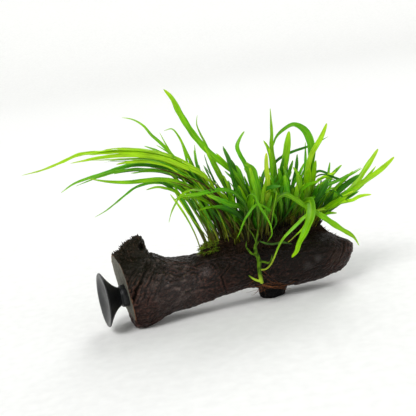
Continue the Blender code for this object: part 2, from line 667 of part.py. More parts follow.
def main():
    for old in list(bpy.data.objects):
        bpy.data.objects.remove(old)
    wood, stubs, cut_ring, floor = build_driftwood()
    wood_tree = tree_of(wood)
    build_cup(cut_ring)
    lines = build_rhizomes(wood_tree)
    solid = {made.name: tree_of(made) for made in bpy.context.scene.objects}
    pieces, more_lines = build_plantlet()
    lines.update(more_lines)
    for made in pieces:
        solid[made.name] = tree_of(made)
    for name, row in FRONDS.items():
        stem = row[0]
        others = [tree for other, tree in solid.items() if other != stem]
        ways = upward_ways(row[1]) if stem in RHIZOMES else SIDEWAYS
        solid[name] = tree_of(settle_frond(name, row, lines[stem], solid[stem], others, ways))
    place_pieces(floor)


main()
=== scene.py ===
# %% [markdown]
# # Java fern on driftwood
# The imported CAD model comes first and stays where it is. Each step below dresses one of its
# pieces: the driftwood, the suction cup, the fronds, the creeping rhizomes, the plantlet and the
# roots.
# %% Load the frame
import math
import random

import bmesh
import bpy
import numpy as np
from mathutils import Matrix, Vector, noise
from mathutils.bvhtree import BVHTree


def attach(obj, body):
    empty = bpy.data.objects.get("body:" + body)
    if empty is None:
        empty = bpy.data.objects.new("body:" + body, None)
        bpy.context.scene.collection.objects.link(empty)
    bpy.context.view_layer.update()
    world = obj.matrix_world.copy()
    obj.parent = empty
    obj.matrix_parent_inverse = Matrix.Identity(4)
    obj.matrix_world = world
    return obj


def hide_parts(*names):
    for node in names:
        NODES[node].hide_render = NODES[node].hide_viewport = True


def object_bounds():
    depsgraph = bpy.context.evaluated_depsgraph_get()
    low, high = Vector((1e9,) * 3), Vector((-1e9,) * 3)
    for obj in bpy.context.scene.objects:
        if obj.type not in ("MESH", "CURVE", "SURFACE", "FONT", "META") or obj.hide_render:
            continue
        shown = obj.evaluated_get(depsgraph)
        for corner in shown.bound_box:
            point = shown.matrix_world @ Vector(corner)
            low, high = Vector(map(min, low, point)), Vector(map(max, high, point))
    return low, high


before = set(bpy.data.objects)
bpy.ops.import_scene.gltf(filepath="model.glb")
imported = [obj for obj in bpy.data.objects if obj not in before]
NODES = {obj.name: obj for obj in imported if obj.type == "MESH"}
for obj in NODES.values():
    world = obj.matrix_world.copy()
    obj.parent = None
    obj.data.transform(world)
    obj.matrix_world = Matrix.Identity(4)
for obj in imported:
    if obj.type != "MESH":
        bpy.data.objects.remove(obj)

CAD_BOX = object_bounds()
MM = 0.001
print(f"{len(NODES)} CAD nodes, {(CAD_BOX[1] - CAD_BOX[0]).x / MM:.1f} mm long")
# %% [markdown]
# ## Camera
# The plant was seen from about 700 mm away and a little above, with the frame slightly turned.
# A camera can be aimed with a constraint, but three axes written out give the turn as well.
# %% Camera
AIM = Vector((-6.66, -4.78, 76.32)) * MM
DISTANCE = 700 * MM
RISE = math.radians(12)
TURN = math.radians(8)
HALF_FRAME = 153.92 * MM
FRAME_PIXELS = 416

toward_viewer = Vector((0, -math.cos(RISE), math.sin(RISE)))
level_up = Vector((0, math.sin(RISE), math.cos(RISE)))
view_right = Vector((math.cos(TURN), 0, 0)) - level_up * math.sin(TURN)
view_up = Vector((math.sin(TURN), 0, 0)) + level_up * math.cos(TURN)
bpy.ops.object.camera_add(location=AIM + toward_viewer * DISTANCE)
camera = bpy.context.object
camera.name = "camera"
camera.rotation_euler = Matrix((view_right, view_up, toward_viewer)).transposed().to_euler()
camera.data.lens = camera.data.sensor_width / 2 * DISTANCE / HALF_FRAME
camera.data.clip_start = 0.01
bpy.context.scene.camera = camera


def sight_line(column, row):
    """Start and direction of the sight line through this pixel of the frame."""
    across = (column / FRAME_PIXELS * 2 - 1) * HALF_FRAME
    height = (1 - row / FRAME_PIXELS * 2) * HALF_FRAME
    through = AIM + view_right * across + view_up * height
    return camera.location, (through - camera.location).normalized()


print(f"lens {camera.data.lens:.1f} mm")
# %% [markdown]
# ## Colours and nodes
# A screen colour is stored as sRGB, while the renderer works with linear light, so one function
# turns a hex value into linear colour. A second one adds any node with its settings and links, and
# the short ones after it wrap the few kinds of node that every finish below is built from. They
# could be dragged together in the node editor, but then no comment could say what each is for.
# %% Helpers for materials
def colour(hex_value):
    """Linear colour with alpha from an sRGB hex value."""
    shares = [int(hex_value[i : i + 2], 16) / 255 for i in (1, 3, 5)]
    return (*[c / 12.92 if c <= 0.04045 else ((c + 0.055) / 1.055) ** 2.4 for c in shares], 1)


def put(material, kind, inputs=None, stops=None, **settings):
    """Adds a node. An input is a value or the socket that feeds it; stops fill a colour ramp."""
    tree = material.node_tree
    made = tree.nodes.new("ShaderNode" + kind)
    for name, value in settings.items():
        setattr(made, name, value)
    for name, value in (inputs or {}).items():
        if isinstance(value, bpy.types.NodeSocket):
            tree.links.new(value, made.inputs[name])
        else:
            made.inputs[name].default_value = value
    if stops:
        elements = made.color_ramp.elements
        while len(elements) < len(stops):
            elements.new(0.5)
        for element, (place, value) in zip(elements, stops):
            element.position = place
            element.color = colour(value) if isinstance(value, str) else (value, value, value, 1)
    return made


def new_material(name, roughness, **settings):
    """A material with its main shader, whose even settings sit on the shader's own sockets."""
    made = bpy.data.materials.new(name)
    made.use_nodes = True
    shader = made.node_tree.nodes["Principled BSDF"]
    shader.inputs["Roughness"].default_value = roughness
    for key, value in settings.items():
        shader.inputs[key.replace("_", " ")].default_value = value
    return made, shader


def feed(material, shader, **sources):
    """Links each source to the shader's input of that name."""
    for name, source in sources.items():
        material.node_tree.links.new(source, shader.inputs[name.replace("_", " ")])


print(f"middle grey #808080 is {colour('#808080')[0]:.3f} in linear light")

# %% Helpers that each return one socket
def mapped(material, where, **changes):
    """Coordinates that a Mapping node has turned, moved or stretched."""
    return put(material, "Mapping", {"Vector": where, **changes}).outputs["Vector"]


def soft_noise(material, where, size, detail, **inputs):
    """Noise from 0 to 1 with features of this size in mm."""
    settings = {"Vector": where, "Scale": 1000 / size, "Detail": detail, **inputs}
    return put(material, "TexNoise", settings).outputs["Fac"]


def attribute(material, name):
    """A value that was stored on the mesh."""
    return put(material, "Attribute", attribute_name=name).outputs["Fac"]


def ramp(material, value, *stops):
    """Colours, or greys, along a value."""
    return put(material, "ValToRGB", {"Fac": value}, stops).outputs["Color"]


def remap(material, value, start, end, low=0.0, high=1.0):
    """A value where start becomes low and end becomes high, and nothing goes past them."""
    limits = {"From Min": start, "From Max": end, "To Min": low, "To Max": high}
    return put(material, "MapRange", {"Value": value, **limits}).outputs["Result"]


def product(material, first, second):
    """Two values multiplied."""
    return put(material, "Math", {0: first, 1: second}, operation="MULTIPLY").outputs[0]


def blend(material, share, under, over, way="MIX"):
    """A colour covered by another one to this share."""
    over = colour(over) if isinstance(over, str) else over
    inputs = {0: share, 6: under, 7: over}
    return put(material, "Mix", inputs, data_type="RGBA", blend_type=way).outputs[2]


def relief(material, height, strength, depth, **inputs):
    """Normals of a height pattern that stands out this many mm."""
    inputs.update(Height=height, Strength=strength, Distance=depth * MM)
    return put(material, "Bump", inputs).outputs["Normal"]


print("ready: mapped, soft_noise, attribute, ramp, remap, product, blend, relief")
# %% [markdown]
# ## Studio
# A pale paper sweep and soft light: a key from the upper left front, a weaker fill from the right,
# and one behind, because thin wet fronds glow when light passes through them. The sweep is a
# profile spun round, so that no edge or horizon shows from any side. Sun lamps with a wide angle
# light it evenly, where area lamps would leave a bright spot.
# %% Studio
# Distance from the middle and height, in metres
FLOOR_PROFILE = [(0, 0), (2.4, 0), (2.9, 0.1), (3.3, 0.42), (3.55, 0.95), (3.65, 1.7)]
FLOOR_STEPS = 64
bpy.ops.object.select_all(action="DESELECT")
mesh = bpy.data.meshes.new("floor")
rows = [(i, i + 1) for i in range(len(FLOOR_PROFILE) - 1)]
mesh.from_pydata([(radius, 0, height) for radius, height in FLOOR_PROFILE], rows, [])
floor = bpy.data.objects.new("floor", mesh)
bpy.context.scene.collection.objects.link(floor)
floor.select_set(True)
bpy.context.view_layer.objects.active = floor
bpy.ops.object.mode_set(mode="EDIT")
bpy.ops.mesh.select_all(action="SELECT")
bpy.ops.mesh.spin(steps=FLOOR_STEPS, angle=math.tau, center=(0, 0, 0), axis=(0, 0, 1))
bpy.ops.mesh.select_all(action="SELECT")
bpy.ops.mesh.remove_doubles(threshold=1e-4)
bpy.ops.mesh.normals_make_consistent(inside=True)
bpy.ops.object.mode_set(mode="OBJECT")
bpy.ops.object.shade_smooth()
# Matt paper, with a tint so faint that only its fibres break up the white
paper, paper_shader = new_material("studio_paper", 0.9)
fibres = put(paper, "TexNoise", {"Scale": 900.0, "Detail": 2.0}).outputs["Fac"]
feed(paper, paper_shader, Base_Color=ramp(paper, fibres, (0.3, "#EFEFED"), (0.7, "#F5F5F3")))
floor.data.materials.append(paper)

# Name, place in metres, how wide the sun looks in degrees, strength
SUNS = [
    ("key", (-0.5, -0.75, 1.0), 24, 1.75),
    ("fill", (0.9, -0.6, 0.7), 50, 0.4),
    ("back", (0.3, 0.9, 0.95), 30, 1.15),
]
SKY_STRENGTH = 0.42
world = bpy.data.worlds.new("studio")
world.use_nodes = True
world.node_tree.nodes["Background"].inputs["Color"].default_value = colour("#F2F4F5")
world.node_tree.nodes["Background"].inputs["Strength"].default_value = SKY_STRENGTH
bpy.context.scene.world = world
bpy.context.scene.view_settings.view_transform = "Standard"
for name, place, angle, power in SUNS:
    bpy.ops.object.light_add(type="SUN", location=place)
    light = bpy.context.object
    light.name = name
    light.data.angle = math.radians(angle)
    light.data.energy = power
    light.rotation_euler = (AIM - light.location).to_track_quat("-Z", "Y").to_euler()
print(f"floor and {len(SUNS)} lights")
# %% [markdown]
# ## Driftwood, one waterlogged branch
# The real branch is one piece of wood, so copies of its three CAD nodes are fused. A Boolean would
# leave a hard line at each join, while a voxel remesh melts them together in even small faces,
# which the later steps can push into folds and grain.
# %% Fuse the driftwood
VOXEL = 0.63 * MM
# The CAD's stubs stand 0.3 mm clear of the trunk, so they grow this much to meet it
STUB_GROWTH = 0.45 * MM


def select_only(*objects):
    """Selects these objects alone and makes the first one active."""
    bpy.ops.object.select_all(action="DESELECT")
    for each in objects:
        each.select_set(True)
    bpy.context.view_layer.objects.active = objects[0]


def copy_node(node, name):
    """A merged copy of a CAD node's mesh, with no material."""
    made = bpy.data.objects.new(name, NODES[node].data.copy())
    bpy.context.scene.collection.objects.link(made)
    made.data.materials.clear()
    select_only(made)
    bpy.ops.object.mode_set(mode="EDIT")
    bpy.ops.mesh.select_all(action="SELECT")
    bpy.ops.mesh.remove_doubles(threshold=1e-6)
    bpy.ops.object.mode_set(mode="OBJECT")
    return made


def apply_modifier(made, kind, **settings):
    """Adds a modifier with these settings and applies it."""
    select_only(made)
    modifier = made.modifiers.new(kind.lower(), kind)
    for name, value in settings.items():
        setattr(modifier, name, value)
    bpy.ops.object.modifier_apply(modifier=modifier.name)


wood = copy_node("driftwood_trunk", "driftwood")
for stub_name in ("driftwood_top_stub", "driftwood_under_stub"):
    stub = copy_node(stub_name, "stub")
    apply_modifier(stub, "DISPLACE", strength=STUB_GROWTH, mid_level=0.0)
    select_only(wood, stub)
    bpy.ops.object.join()
print(f"driftwood: {len(wood.data.vertices)} vertices in its three CAD parts")


# %% Break the top stub into shards and melt the wood together
def in_view(column, row, depth):
    """The place at this depth (mm) that shows at a pixel of the front view, in mm."""
    start, heading = sight_line(column, row)
    return np.array(start + heading * ((depth * MM - start.y) / heading.y)) / MM


# Broken fibres on the top stub: pixel of the tip, pixel of the foot, depth and foot radius in mm
SHARDS = [
    ((117.5, 251), (124, 259), -30, 2.3),
    ((120.5, 246), (127, 257), -27, 2.0),
    ((124, 241.8), (130, 254), -24, 2.1),
    ((127.5, 243.5), (131, 254), -28, 1.8),
    ((131, 240.5), (134, 252), -22, 2.4),
    ((136, 237.6), (138, 250), -24, 2.8),
    ((141.5, 238.6), (141, 250), -20, 2.4),
    ((144.5, 243), (144, 253), -22, 2.0),
    ((147.5, 249.5), (146, 257), -24, 2.2),
    ((152, 251.5), (150, 260), -26, 2.4),
    ((114, 254), (121, 262), -34, 1.8),
]
SHARD_TIP = 0.35 * MM
SHARD_LEAN = 1.5  # mm that a tip stands nearer to the viewer than its foot
for tip_pixel, foot_pixel, depth, radius in SHARDS:
    foot = Vector(in_view(*foot_pixel, depth)) * MM
    tip = Vector(in_view(*tip_pixel, depth - SHARD_LEAN)) * MM
    bpy.ops.object.select_all(action="DESELECT")
    bpy.ops.mesh.primitive_cone_add(
        vertices=6, radius1=radius * MM, radius2=SHARD_TIP, depth=(tip - foot).length,
        location=(tip + foot) / 2, rotation=(tip - foot).to_track_quat("Z", "Y").to_euler(),
    )
    shard = bpy.context.object
    select_only(wood, shard)
    bpy.ops.object.join()
wood.data.remesh_voxel_size = VOXEL
select_only(wood)
bpy.ops.object.voxel_remesh()
# A search tree says where a sight line meets the wood, and which of its faces is nearest
wood_tree = BVHTree.FromObject(wood, bpy.context.evaluated_depsgraph_get())
print(f"driftwood: {len(wood.data.vertices)} vertices after the remesh")
# %% [markdown]
# ## Folds, knots and grain
# Years in water wear driftwood along its fibres: long swells, pinched folds where a root flared
# out, and a net of fine wrinkles. Sculpting would do it, but a script pushes the vertices instead:
# noise stretched along the branch for the grain, and grooves along lines drawn in the front view.
# %% Measure the driftwood along its grain
GRAIN_TURN = math.radians(14)
GRAIN_AXIS = Vector((math.cos(GRAIN_TURN), math.sin(GRAIN_TURN), -0.03)).normalized()
GRAIN_UP = Vector((0, 0, 1)) - GRAIN_AXIS * GRAIN_AXIS.z
GRAIN_UP.normalize()
GRAIN_SIDE = GRAIN_UP.cross(GRAIN_AXIS)
# How squarely the sawn end's vertices face outwards, and how far in they lie (mm)
CUT_FACING, CUT_DEPTH = 0.86, 9


def corners_of(made):
    """Places and normals of all vertices, as arrays."""
    count = len(made.data.vertices)
    places, normals = np.empty(count * 3), np.empty(count * 3)
    made.data.vertices.foreach_get("co", places)
    made.data.vertices.foreach_get("normal", normals)
    return places.reshape(-1, 3), normals.reshape(-1, 3)


def move_corners(made, places):
    """Puts all vertices at these places."""
    made.data.vertices.foreach_set("co", np.asarray(places, np.float32).ravel())
    made.data.update()


def neighbour_mean(made, values, rounds):
    """Each vertex's value averaged over its neighbours, this many times."""
    edges = np.empty(len(made.data.edges) * 2, int)
    made.data.edges.foreach_get("vertices", edges)
    first, second = edges.reshape(-1, 2).T
    count = np.bincount(edges, minlength=len(values)).clip(1)
    for _ in range(rounds):
        columns = []
        for column in values.T:
            total = np.bincount(first, column[second], len(values))
            columns.append((total + np.bincount(second, column[first], len(values))) / count)
        values = np.column_stack(columns)
    return values


def noise_at(points, size, seed, detail=3):
    """Smooth noise from -1 to 1 at each point, with features of this size."""
    shift = Vector((seed * 7.3, seed * 3.1, seed * 5.7))
    return np.array([noise.fractal(Vector(p) / size + shift, 1.0, 2.0, detail) for p in points])


places, normals = corners_of(wood)
in_mm = places / MM
along = in_mm @ np.array(GRAIN_AXIS)
beside = in_mm @ np.array(GRAIN_SIDE)
above = in_mm @ np.array(GRAIN_UP)
end_plane = along.min()
cut_face = (normals @ -np.array(GRAIN_AXIS) > CUT_FACING) & (along < end_plane + CUT_DEPTH)
bark = neighbour_mean(wood, (1.0 - cut_face)[:, None], 1)[:, 0]
print(f"{cut_face.sum()} vertices on the cut face, branch {np.ptp(along):.0f} mm along its grain")

# %% Swells, lumps and the net of wrinkles
# The wrinkles lean across the branch, so they are drawn longer that way
LEAN = (0.62, 0.78)  # shares of up and of along the grain
# Layers of the net: size in mm, share, seed
NET = [(3.8, 0.6, 3), (2.4, 0.45, 6)]
NET_WIDTH = 0.16
# Where the net is faint: pixel of the front view, reach in mm, share
CALM = [
    ((143, 281), 15, 0.75),
    ((330, 252), 30, 0.75),
    ((298, 268), 24, 0.6),
    ((190, 296), 18, 0.5),
    ((225, 285), 18, 0.5),
]


def spot(column, row):
    """The place on the driftwood that shows at a pixel of the front view, in mm."""
    hit = wood_tree.ray_cast(*sight_line(column, row))[0]
    return hit / MM if hit else None


slant = LEAN[0] * above + LEAN[1] * along
across_slant = LEAN[0] * along - LEAN[1] * above
swells = noise_at(in_mm, 17, 1)
lumps = noise_at(np.column_stack([along / 1.6, beside, above]), 7, 2)
warp = 0.8 * noise_at(in_mm, 5, 5, 2)
net = np.zeros(len(in_mm))
drawn_out = np.column_stack([across_slant + warp, slant / 1.7, beside + warp])
for size, share, seed in NET:
    net -= share * np.exp(-((noise_at(drawn_out, size, seed, 2) / NET_WIDTH) ** 2))
wrinkles = noise_at(np.column_stack([along / 1.5, beside, above]), 1.6, 4, 2)
calm = np.ones(len(in_mm))
for pixel, reach, share in CALM:
    away = ((in_mm - np.array(spot(*pixel))) ** 2).sum(1)
    calm *= 1 - share * np.exp(-away / reach**2)
calm *= np.clip(0.75 + 1.1 * noise_at(in_mm, 19, 15, 2), 0.15, 1.35)
push = bark * (0.6 * swells + 0.7 * lumps + 1.15 * calm * net + 0.35 * wrinkles)
print(f"relief from {push.min():.1f} to {push.max():.1f} mm")

# %% Grooves along the folds
# Each groove: how deep, how wide (mm), then the pixels of the front view that it passes
GROOVES = [
    (4.0, 1.5, [(149, 262), (147, 268), (144, 276), (140, 284), (136, 292), (133, 301)]),
    (1.9, 0.75, [(153, 264), (150, 271), (147, 278), (143, 287), (140, 294), (137, 303)]),
    (1.2, 0.65, [(159, 266), (154, 273), (150, 281), (147, 290), (144, 299)]),
    (0.9, 0.6, [(165, 266), (160, 274), (155, 283), (151, 294), (148, 304)]),
    (1.8, 0.75, [(145, 265), (142, 271), (138, 277), (133, 286), (131, 294)]),
    (1.5, 0.65, [(141, 268), (137, 274), (132, 281), (130, 288)]),
    (1.4, 0.8, [(137, 268), (132, 275), (128, 283)]),
    (0.8, 0.6, [(140, 311), (149, 308), (158, 309)]),
    (1.3, 0.7, [(152, 252), (160, 258), (172, 262), (188, 264)]),
    (1.2, 0.65, [(156, 258), (166, 263), (180, 266), (194, 269)]),
    (1.2, 0.65, [(150, 256), (158, 262), (166, 268), (176, 272)]),
    (0.9, 0.6, [(171, 266), (164, 276), (158, 288), (153, 300)]),
    (0.8, 0.7, [(205, 262), (218, 259), (232, 258), (243, 262)]),
    (0.9, 0.7, [(221, 277), (223, 283), (225, 289), (226, 293)]),
    (0.9, 0.6, [(230, 262), (229, 267), (225, 272), (221, 277)]),
    (0.9, 0.7, [(196, 266), (204, 262), (212, 263), (217, 268)]),
    (0.7, 0.7, [(186, 292), (201, 288), (215, 287)]),
    (0.8, 0.9, [(344, 243), (343, 250), (341, 257), (338, 263), (334, 267)]),
    (0.5, 0.8, [(336, 246), (333, 253), (329, 260), (322, 266)]),
    (0.7, 0.7, [(303, 272), (312, 270), (325, 265)]),
    (0.6, 0.7, [(296, 256), (305, 253), (316, 252)]),
]
# Grooves wander, so they are drawn in space that noise has bent
bent = in_mm + 0.8 * np.column_stack([noise_at(in_mm, 5, seed, 2) for seed in (11, 12, 13)])
for depth, width, pixels in GROOVES:
    hits = []
    for (c0, r0), (c1, r1) in zip(pixels, pixels[1:]):
        for share in np.linspace(0, 1, 9):
            hit = spot(c0 + (c1 - c0) * share, r0 + (r1 - r0) * share)
            if hit:
                hits.append(hit)
    nearest = np.full(len(in_mm), 1e9)
    for hit in hits:
        nearest = np.minimum(nearest, ((bent - np.array(hit)) ** 2).sum(1))
    groove = np.exp(-nearest / (width * (1 + 0.5 * lumps)) ** 2)
    # A low crest runs along both its sides
    crest = np.exp(-((np.sqrt(nearest) - 2.0 * width) ** 2) / width**2)
    push += bark * depth * (0.8 + 0.7 * swells) * (0.3 * crest - groove)
print(f"{len(GROOVES)} grooves, relief now from {push.min():.1f} to {push.max():.1f} mm")

# %% Knot hole, sawn end and lower stub
KNOT_HOLE = (141, 247)  # pixel of the front view
KNOT_DEPTH, KNOT_RADIUS = 4.5, 2.1  # mm
# The saw went a little askew: by this much at its far edge, over this length (mm)
ASKEW, ASKEW_LENGTH, CUT_WIDTH = 3.2, 14, 50
# The lower stub narrows to its foot. Seen from above: the corners round it and its middle, in mm
STUB_BOX = np.array([(13, -16), (53, 24)])
STUB_MIDDLE = np.array([33.5, 4.0])
STUB_TOP, STUB_NARROWING = 15.0, 0.24  # its height in mm, and the share that its foot loses
LOW, HIGH = (np.array(corner) / MM for corner in CAD_BOX)
MARGIN = 0.02  # mm


def kept_inside(points):
    """These places in mm, moved where they would lie past the box of the CAD."""
    return np.clip(points, LOW + MARGIN, HIGH - MARGIN)


from_knot = ((in_mm - np.array(spot(*KNOT_HOLE))) ** 2).sum(1)
hole = KNOT_DEPTH * np.exp(-((from_knot / KNOT_RADIUS**2) ** 1.5))
near_end = np.clip(1 - (along - end_plane) / ASKEW_LENGTH, 0, 1)
askew = ASKEW * near_end**1.3 * np.clip((beside - beside.min()) / CUT_WIDTH, 0, 1)
saw_marks = noise_at(np.column_stack([beside / 0.5, above / 3.0, along]), 2.2, 7, 2)
push += (1 - bark) * 0.25 * saw_marks
seen_from_above = in_mm[:, :2]
on_stub = ((seen_from_above > STUB_BOX[0]) & (seen_from_above < STUB_BOX[1])).all(1)
on_stub &= in_mm[:, 2] < STUB_TOP
push += 1.2 * on_stub * noise_at(in_mm, 3.5, 14, 2)
towards_foot = np.clip(1 - in_mm[:, 2] / STUB_TOP, 0, 1) ** 1.2
narrow = np.where(on_stub, STUB_NARROWING * towards_foot, 0)
shaped = in_mm + normals * push[:, None] + hole[:, None] * np.array(sight_line(*KNOT_HOLE)[1])
shaped -= askew[:, None] * np.array(GRAIN_AXIS)
shaped[:, :2] += narrow[:, None] * (STUB_MIDDLE - shaped[:, :2])
move_corners(wood, kept_inside(shaped) * MM)
print(f"surface moved by {push.min():.1f} to {push.max():.1f} mm")
# %% [markdown]
# ## Wood finishes
# Waterlogged driftwood is nearly black with a red-brown cast, because tannin darkens it. An
# attribute that says how deep a vertex lies under its neighbours darkens the wrinkles with painted
# shade and lightens the ridges with a painted highlight, and streaks with a fine speckle, partly
# painted glints, run along the fibres. Algae and peat lie on what faces upwards and take the gloss
# of the water film away, with painted shade from the fronds above on the same faces, while a
# painted reflection of the sky greys a few wet ridges. Painted shade darkens the wood round the
# plant's foot, in the knot hole and on the lower stub. All this could be painted by hand, but
# rules hold for the back as well as for the side that was seen.
# %% Measure hollows and the distance from the rim
RIM_DEPTH = 12  # mm from the sawn end


def set_attribute(made, name, values):
    """Stores one value for each vertex, for a material to read."""
    stored = made.data.attributes.new(name, "FLOAT", "POINT")
    stored.data.foreach_set("value", np.asarray(values, np.float32))


places, normals = corners_of(wood)
hollow = ((neighbour_mean(wood, places, 5) - places) * normals).sum(1) / MM
set_attribute(wood, "hollow", np.clip(0.5 + hollow * 1.6, 0, 1))
rim_places = places[~cut_face & (along < end_plane + RIM_DEPTH)]
from_rim = np.full(len(places), 9.0)
for index in np.flatnonzero(cut_face):
    from_rim[index] = np.sqrt(((rim_places - places[index]) ** 2).sum(1).min()) / MM
set_attribute(wood, "from_rim", from_rim)
print(f"hollows from {hollow.min():.2f} to {hollow.max():.2f} mm deep")

# %% Waterlogged driftwood: streaks, hollows and ridges
driftwood, shader = new_material("waterlogged_driftwood", 0.5, Specular_IOR_Level=0.17)
where = put(driftwood, "TexCoord").outputs["Object"]
# Fibres run along the branch, so the pattern is turned to it and drawn longer that way
turned = mapped(driftwood, where, Rotation=(0, 0, -GRAIN_TURN))
fibre = mapped(driftwood, turned, Scale=(0.5, 1, 1))
patches = soft_noise(driftwood, where, 13, 3.0)
streaks = soft_noise(driftwood, fibre, 2.6, 3.5, Roughness=0.55)
cast = ramp(driftwood, patches, (0.36, "#1B0C08"), (0.62, "#451F16"))
grain = ramp(driftwood, streaks, (0.3, "#0C0706"), (0.55, "#2E1B16"), (0.75, "#64483F"))
mixed = blend(driftwood, 0.55, cast, grain)
# The attribute is low on ridges and high in hollows: painted shade darkens the hollows, and a
# painted highlight lightens the ridges
depth = attribute(driftwood, "hollow")
hollow_shade = ramp(driftwood, depth, (0.25, 1.0), (0.5, 0.54), (0.72, 0.06))
darkened = blend(driftwood, 1.0, mixed, hollow_shade, "MULTIPLY")
ridge_highlight_share = remap(driftwood, depth, 0.42, 0.1, 0.0, 0.38)
ridge_highlighted = blend(driftwood, ridge_highlight_share, darkened, "#684538")
# Fine speckle where the fibres break out of the surface, lighter and darker; its lighter specks are
# also painted glints on the fibres
speckle = soft_noise(driftwood, fibre, 1.2, 1.5)
scaling = {0: ridge_highlighted, "Scale": remap(driftwood, speckle, 0.34, 0.68, 0.45, 1.75)}
surface = put(driftwood, "VectorMath", scaling, operation="SCALE").outputs["Vector"]
print(f"{len(driftwood.node_tree.nodes)} nodes so far")


# %% Waterlogged driftwood: darker and stained places
def near(material, where, place, reach, softness):
    """1 at this place (in mm), falling to 0 at its reach."""
    ends = {0: where, 1: Vector(place) * MM}
    away = put(material, "VectorMath", ends, operation="DISTANCE").outputs["Value"]
    return remap(material, away, reach * MM, (reach - softness) * MM)


# Pixel of the front view or place in mm, reach, softness, share, colour
ZONES = [
    ((136, 254), 34, 20, 0.9, "#1D1B10"),  # a film of algae on the broken stub
    ((140, 308), 20, 17, 0.4, "#2A1710"),  # the red-brown heel
    ((176, 304), 34, 24, 0.72, "#1C100B"),
    # painted shade below the plant, where its fronds shadow the wood
    ((232, 270), 36, 28, 0.6, "#140D08"),
    ((275, 245), 50, 40, 0.85, "#0A0804"),  # painted shadow of the plant over dark peat and roots
    ((300, 270), 24, 20, 0.5, "#120B08"),
    ((322, 246), 34, 28, 0.75, "#100D08"),
    ((337, 256), 11, 9, 0.55, "#34241C"),  # worn brown by the right end
    ((318, 258), 4, 3, 0.45, "#4C4846"),  # two painted glints of the water film
    ((308, 266), 5, 4, 0.4, "#484442"),
    ((129, 268), 15, 12, 0.6, "#16130C"),
    ((205, 271), 6, 4, 0.5, "#524A48"),  # a painted highlight where the wet film shines
    ((163, 257), 15, 11, 0.6, "#14130A"),  # algae along the top, with painted shade from the plant above
    ((190, 259), 15, 11, 0.6, "#14110A"),
    ((214, 260), 13, 10, 0.5, "#140F0A"),
    ((272, 294), 17, 6, 1.0, "#040302"),  # the lower stub, near-black, painted shade under the trunk
    # the knot hole, painted black for the shade inside it
    (KNOT_HOLE, 3.4, 1.6, 1.0, "#030202"),
    ((60, 45, 40), 62, 42, 0.72, "#150E0A"),  # the shaded back, dull and even
    ((-15, 38, 30), 56, 38, 0.66, "#1A120E"),
    ((-70, 18, 32), 48, 32, 0.66, "#1C130E"),
]
for place, reach, softness, share, tint in ZONES:
    middle = spot(*place) if len(place) == 2 else place
    zone = near(driftwood, where, middle, reach, softness)
    surface = blend(driftwood, product(driftwood, zone, share), surface, tint)
print(f"{len(ZONES)} stained places")

# %% Waterlogged driftwood: algae, silt and gloss
# Algae and peat lie on what faces upwards and take its gloss away, and the darker colour there is
# also painted shade from the fronds above
facing = put(driftwood, "NewGeometry").outputs["Normal"]
upward = put(driftwood, "SeparateXYZ", {"Vector": facing}).outputs["Z"]
algae_and_shade = remap(driftwood, upward, 0.3, 0.85, 0.0, 0.7)
surface = blend(driftwood, algae_and_shade, surface, "#14120A")
# A painted reflection of the sky in the film of water greys some of the ridges that face the light
WET_PIXEL, WET_REACH, WET_SOFTNESS = (174, 279), 36, 28
wet_zone = near(driftwood, where, spot(*WET_PIXEL), WET_REACH, WET_SOFTNESS)
painted_sky_sheen = remap(driftwood, soft_noise(driftwood, fibre, 3.2, 3.0), 0.52, 0.68, 0.0, 0.4)
surface = blend(driftwood, product(driftwood, painted_sky_sheen, wet_zone), surface, "#76665F")
bare = put(driftwood, "Math", {0: 1.0, 1: algae_and_shade}, operation="SUBTRACT").outputs[0]
gloss = product(driftwood, remap(driftwood, wet_zone, 0.0, 1.0, 0.12, 0.38), bare)
shine = ramp(driftwood, streaks, (0.3, 0.56), (0.72, 0.2))
# Fibre bundles are about 0.1 mm wide: they are drawn 1 mm wide here, so that they show
bundles = {"Vector": fibre, "Scale": 1000 / 1.2}
cells = put(driftwood, "TexVoronoi", bundles, feature="DISTANCE_TO_EDGE").outputs["Distance"]
fine_relief = relief(driftwood, cells, 0.7, 0.9)
grain_relief = relief(driftwood, streaks, 1.0, 1.3, Normal=fine_relief)
feed(
    driftwood, shader, Base_Color=surface, Roughness=shine, Specular_IOR_Level=gloss,
    Normal=grain_relief,
)
print(f"{len(driftwood.node_tree.nodes)} nodes in the driftwood's finish")

# %% [markdown]
# ## Sawn end
# The wide end was cut with a saw, so it shows grey-brown end grain with growth rings and the saw's
# threads. It could be a disc of its own with a picture of rings on it, but a second material on the
# same faces leaves no seam, and a ring wave turned round the pith gives the rings.
# %% Sawn end grain
RING_GAP = 1.6  # mm between two growth rings
WAVE_REPEAT = 0.314  # metres between two rings of the wave node at scale 1
sawn, shader = new_material("sawn_end_grain", 0.75, Specular_IOR_Level=0.3)
where = put(sawn, "TexCoord").outputs["Object"]
threads = soft_noise(sawn, mapped(sawn, where, Scale=(1, 1, 0.22)), 1.6, 4.0)
pale = ramp(sawn, threads, (0.3, "#48473D"), (0.5, "#6A695D"), (0.7, "#8C8B7E"))
# Growth rings run round the pith, in the middle of the cut face
pith = Matrix.Rotation(-GRAIN_TURN, 3, "Z") @ Vector(places[cut_face].mean(0))
centred = mapped(sawn, where, Rotation=(0, 0, -GRAIN_TURN), Location=-pith)
waves = {"Vector": centred, "Scale": WAVE_REPEAT / (RING_GAP * MM), "Distortion": 3.5}
waves.update({"Detail": 2.0, "Detail Scale": 1000 / 7})
rings = put(sawn, "TexWave", waves, wave_type="RINGS", rings_direction="X").outputs["Fac"]
ringed = blend(sawn, remap(sawn, rings, 0.0, 1.0, 0.0, 0.4), pale, "#3A342A")
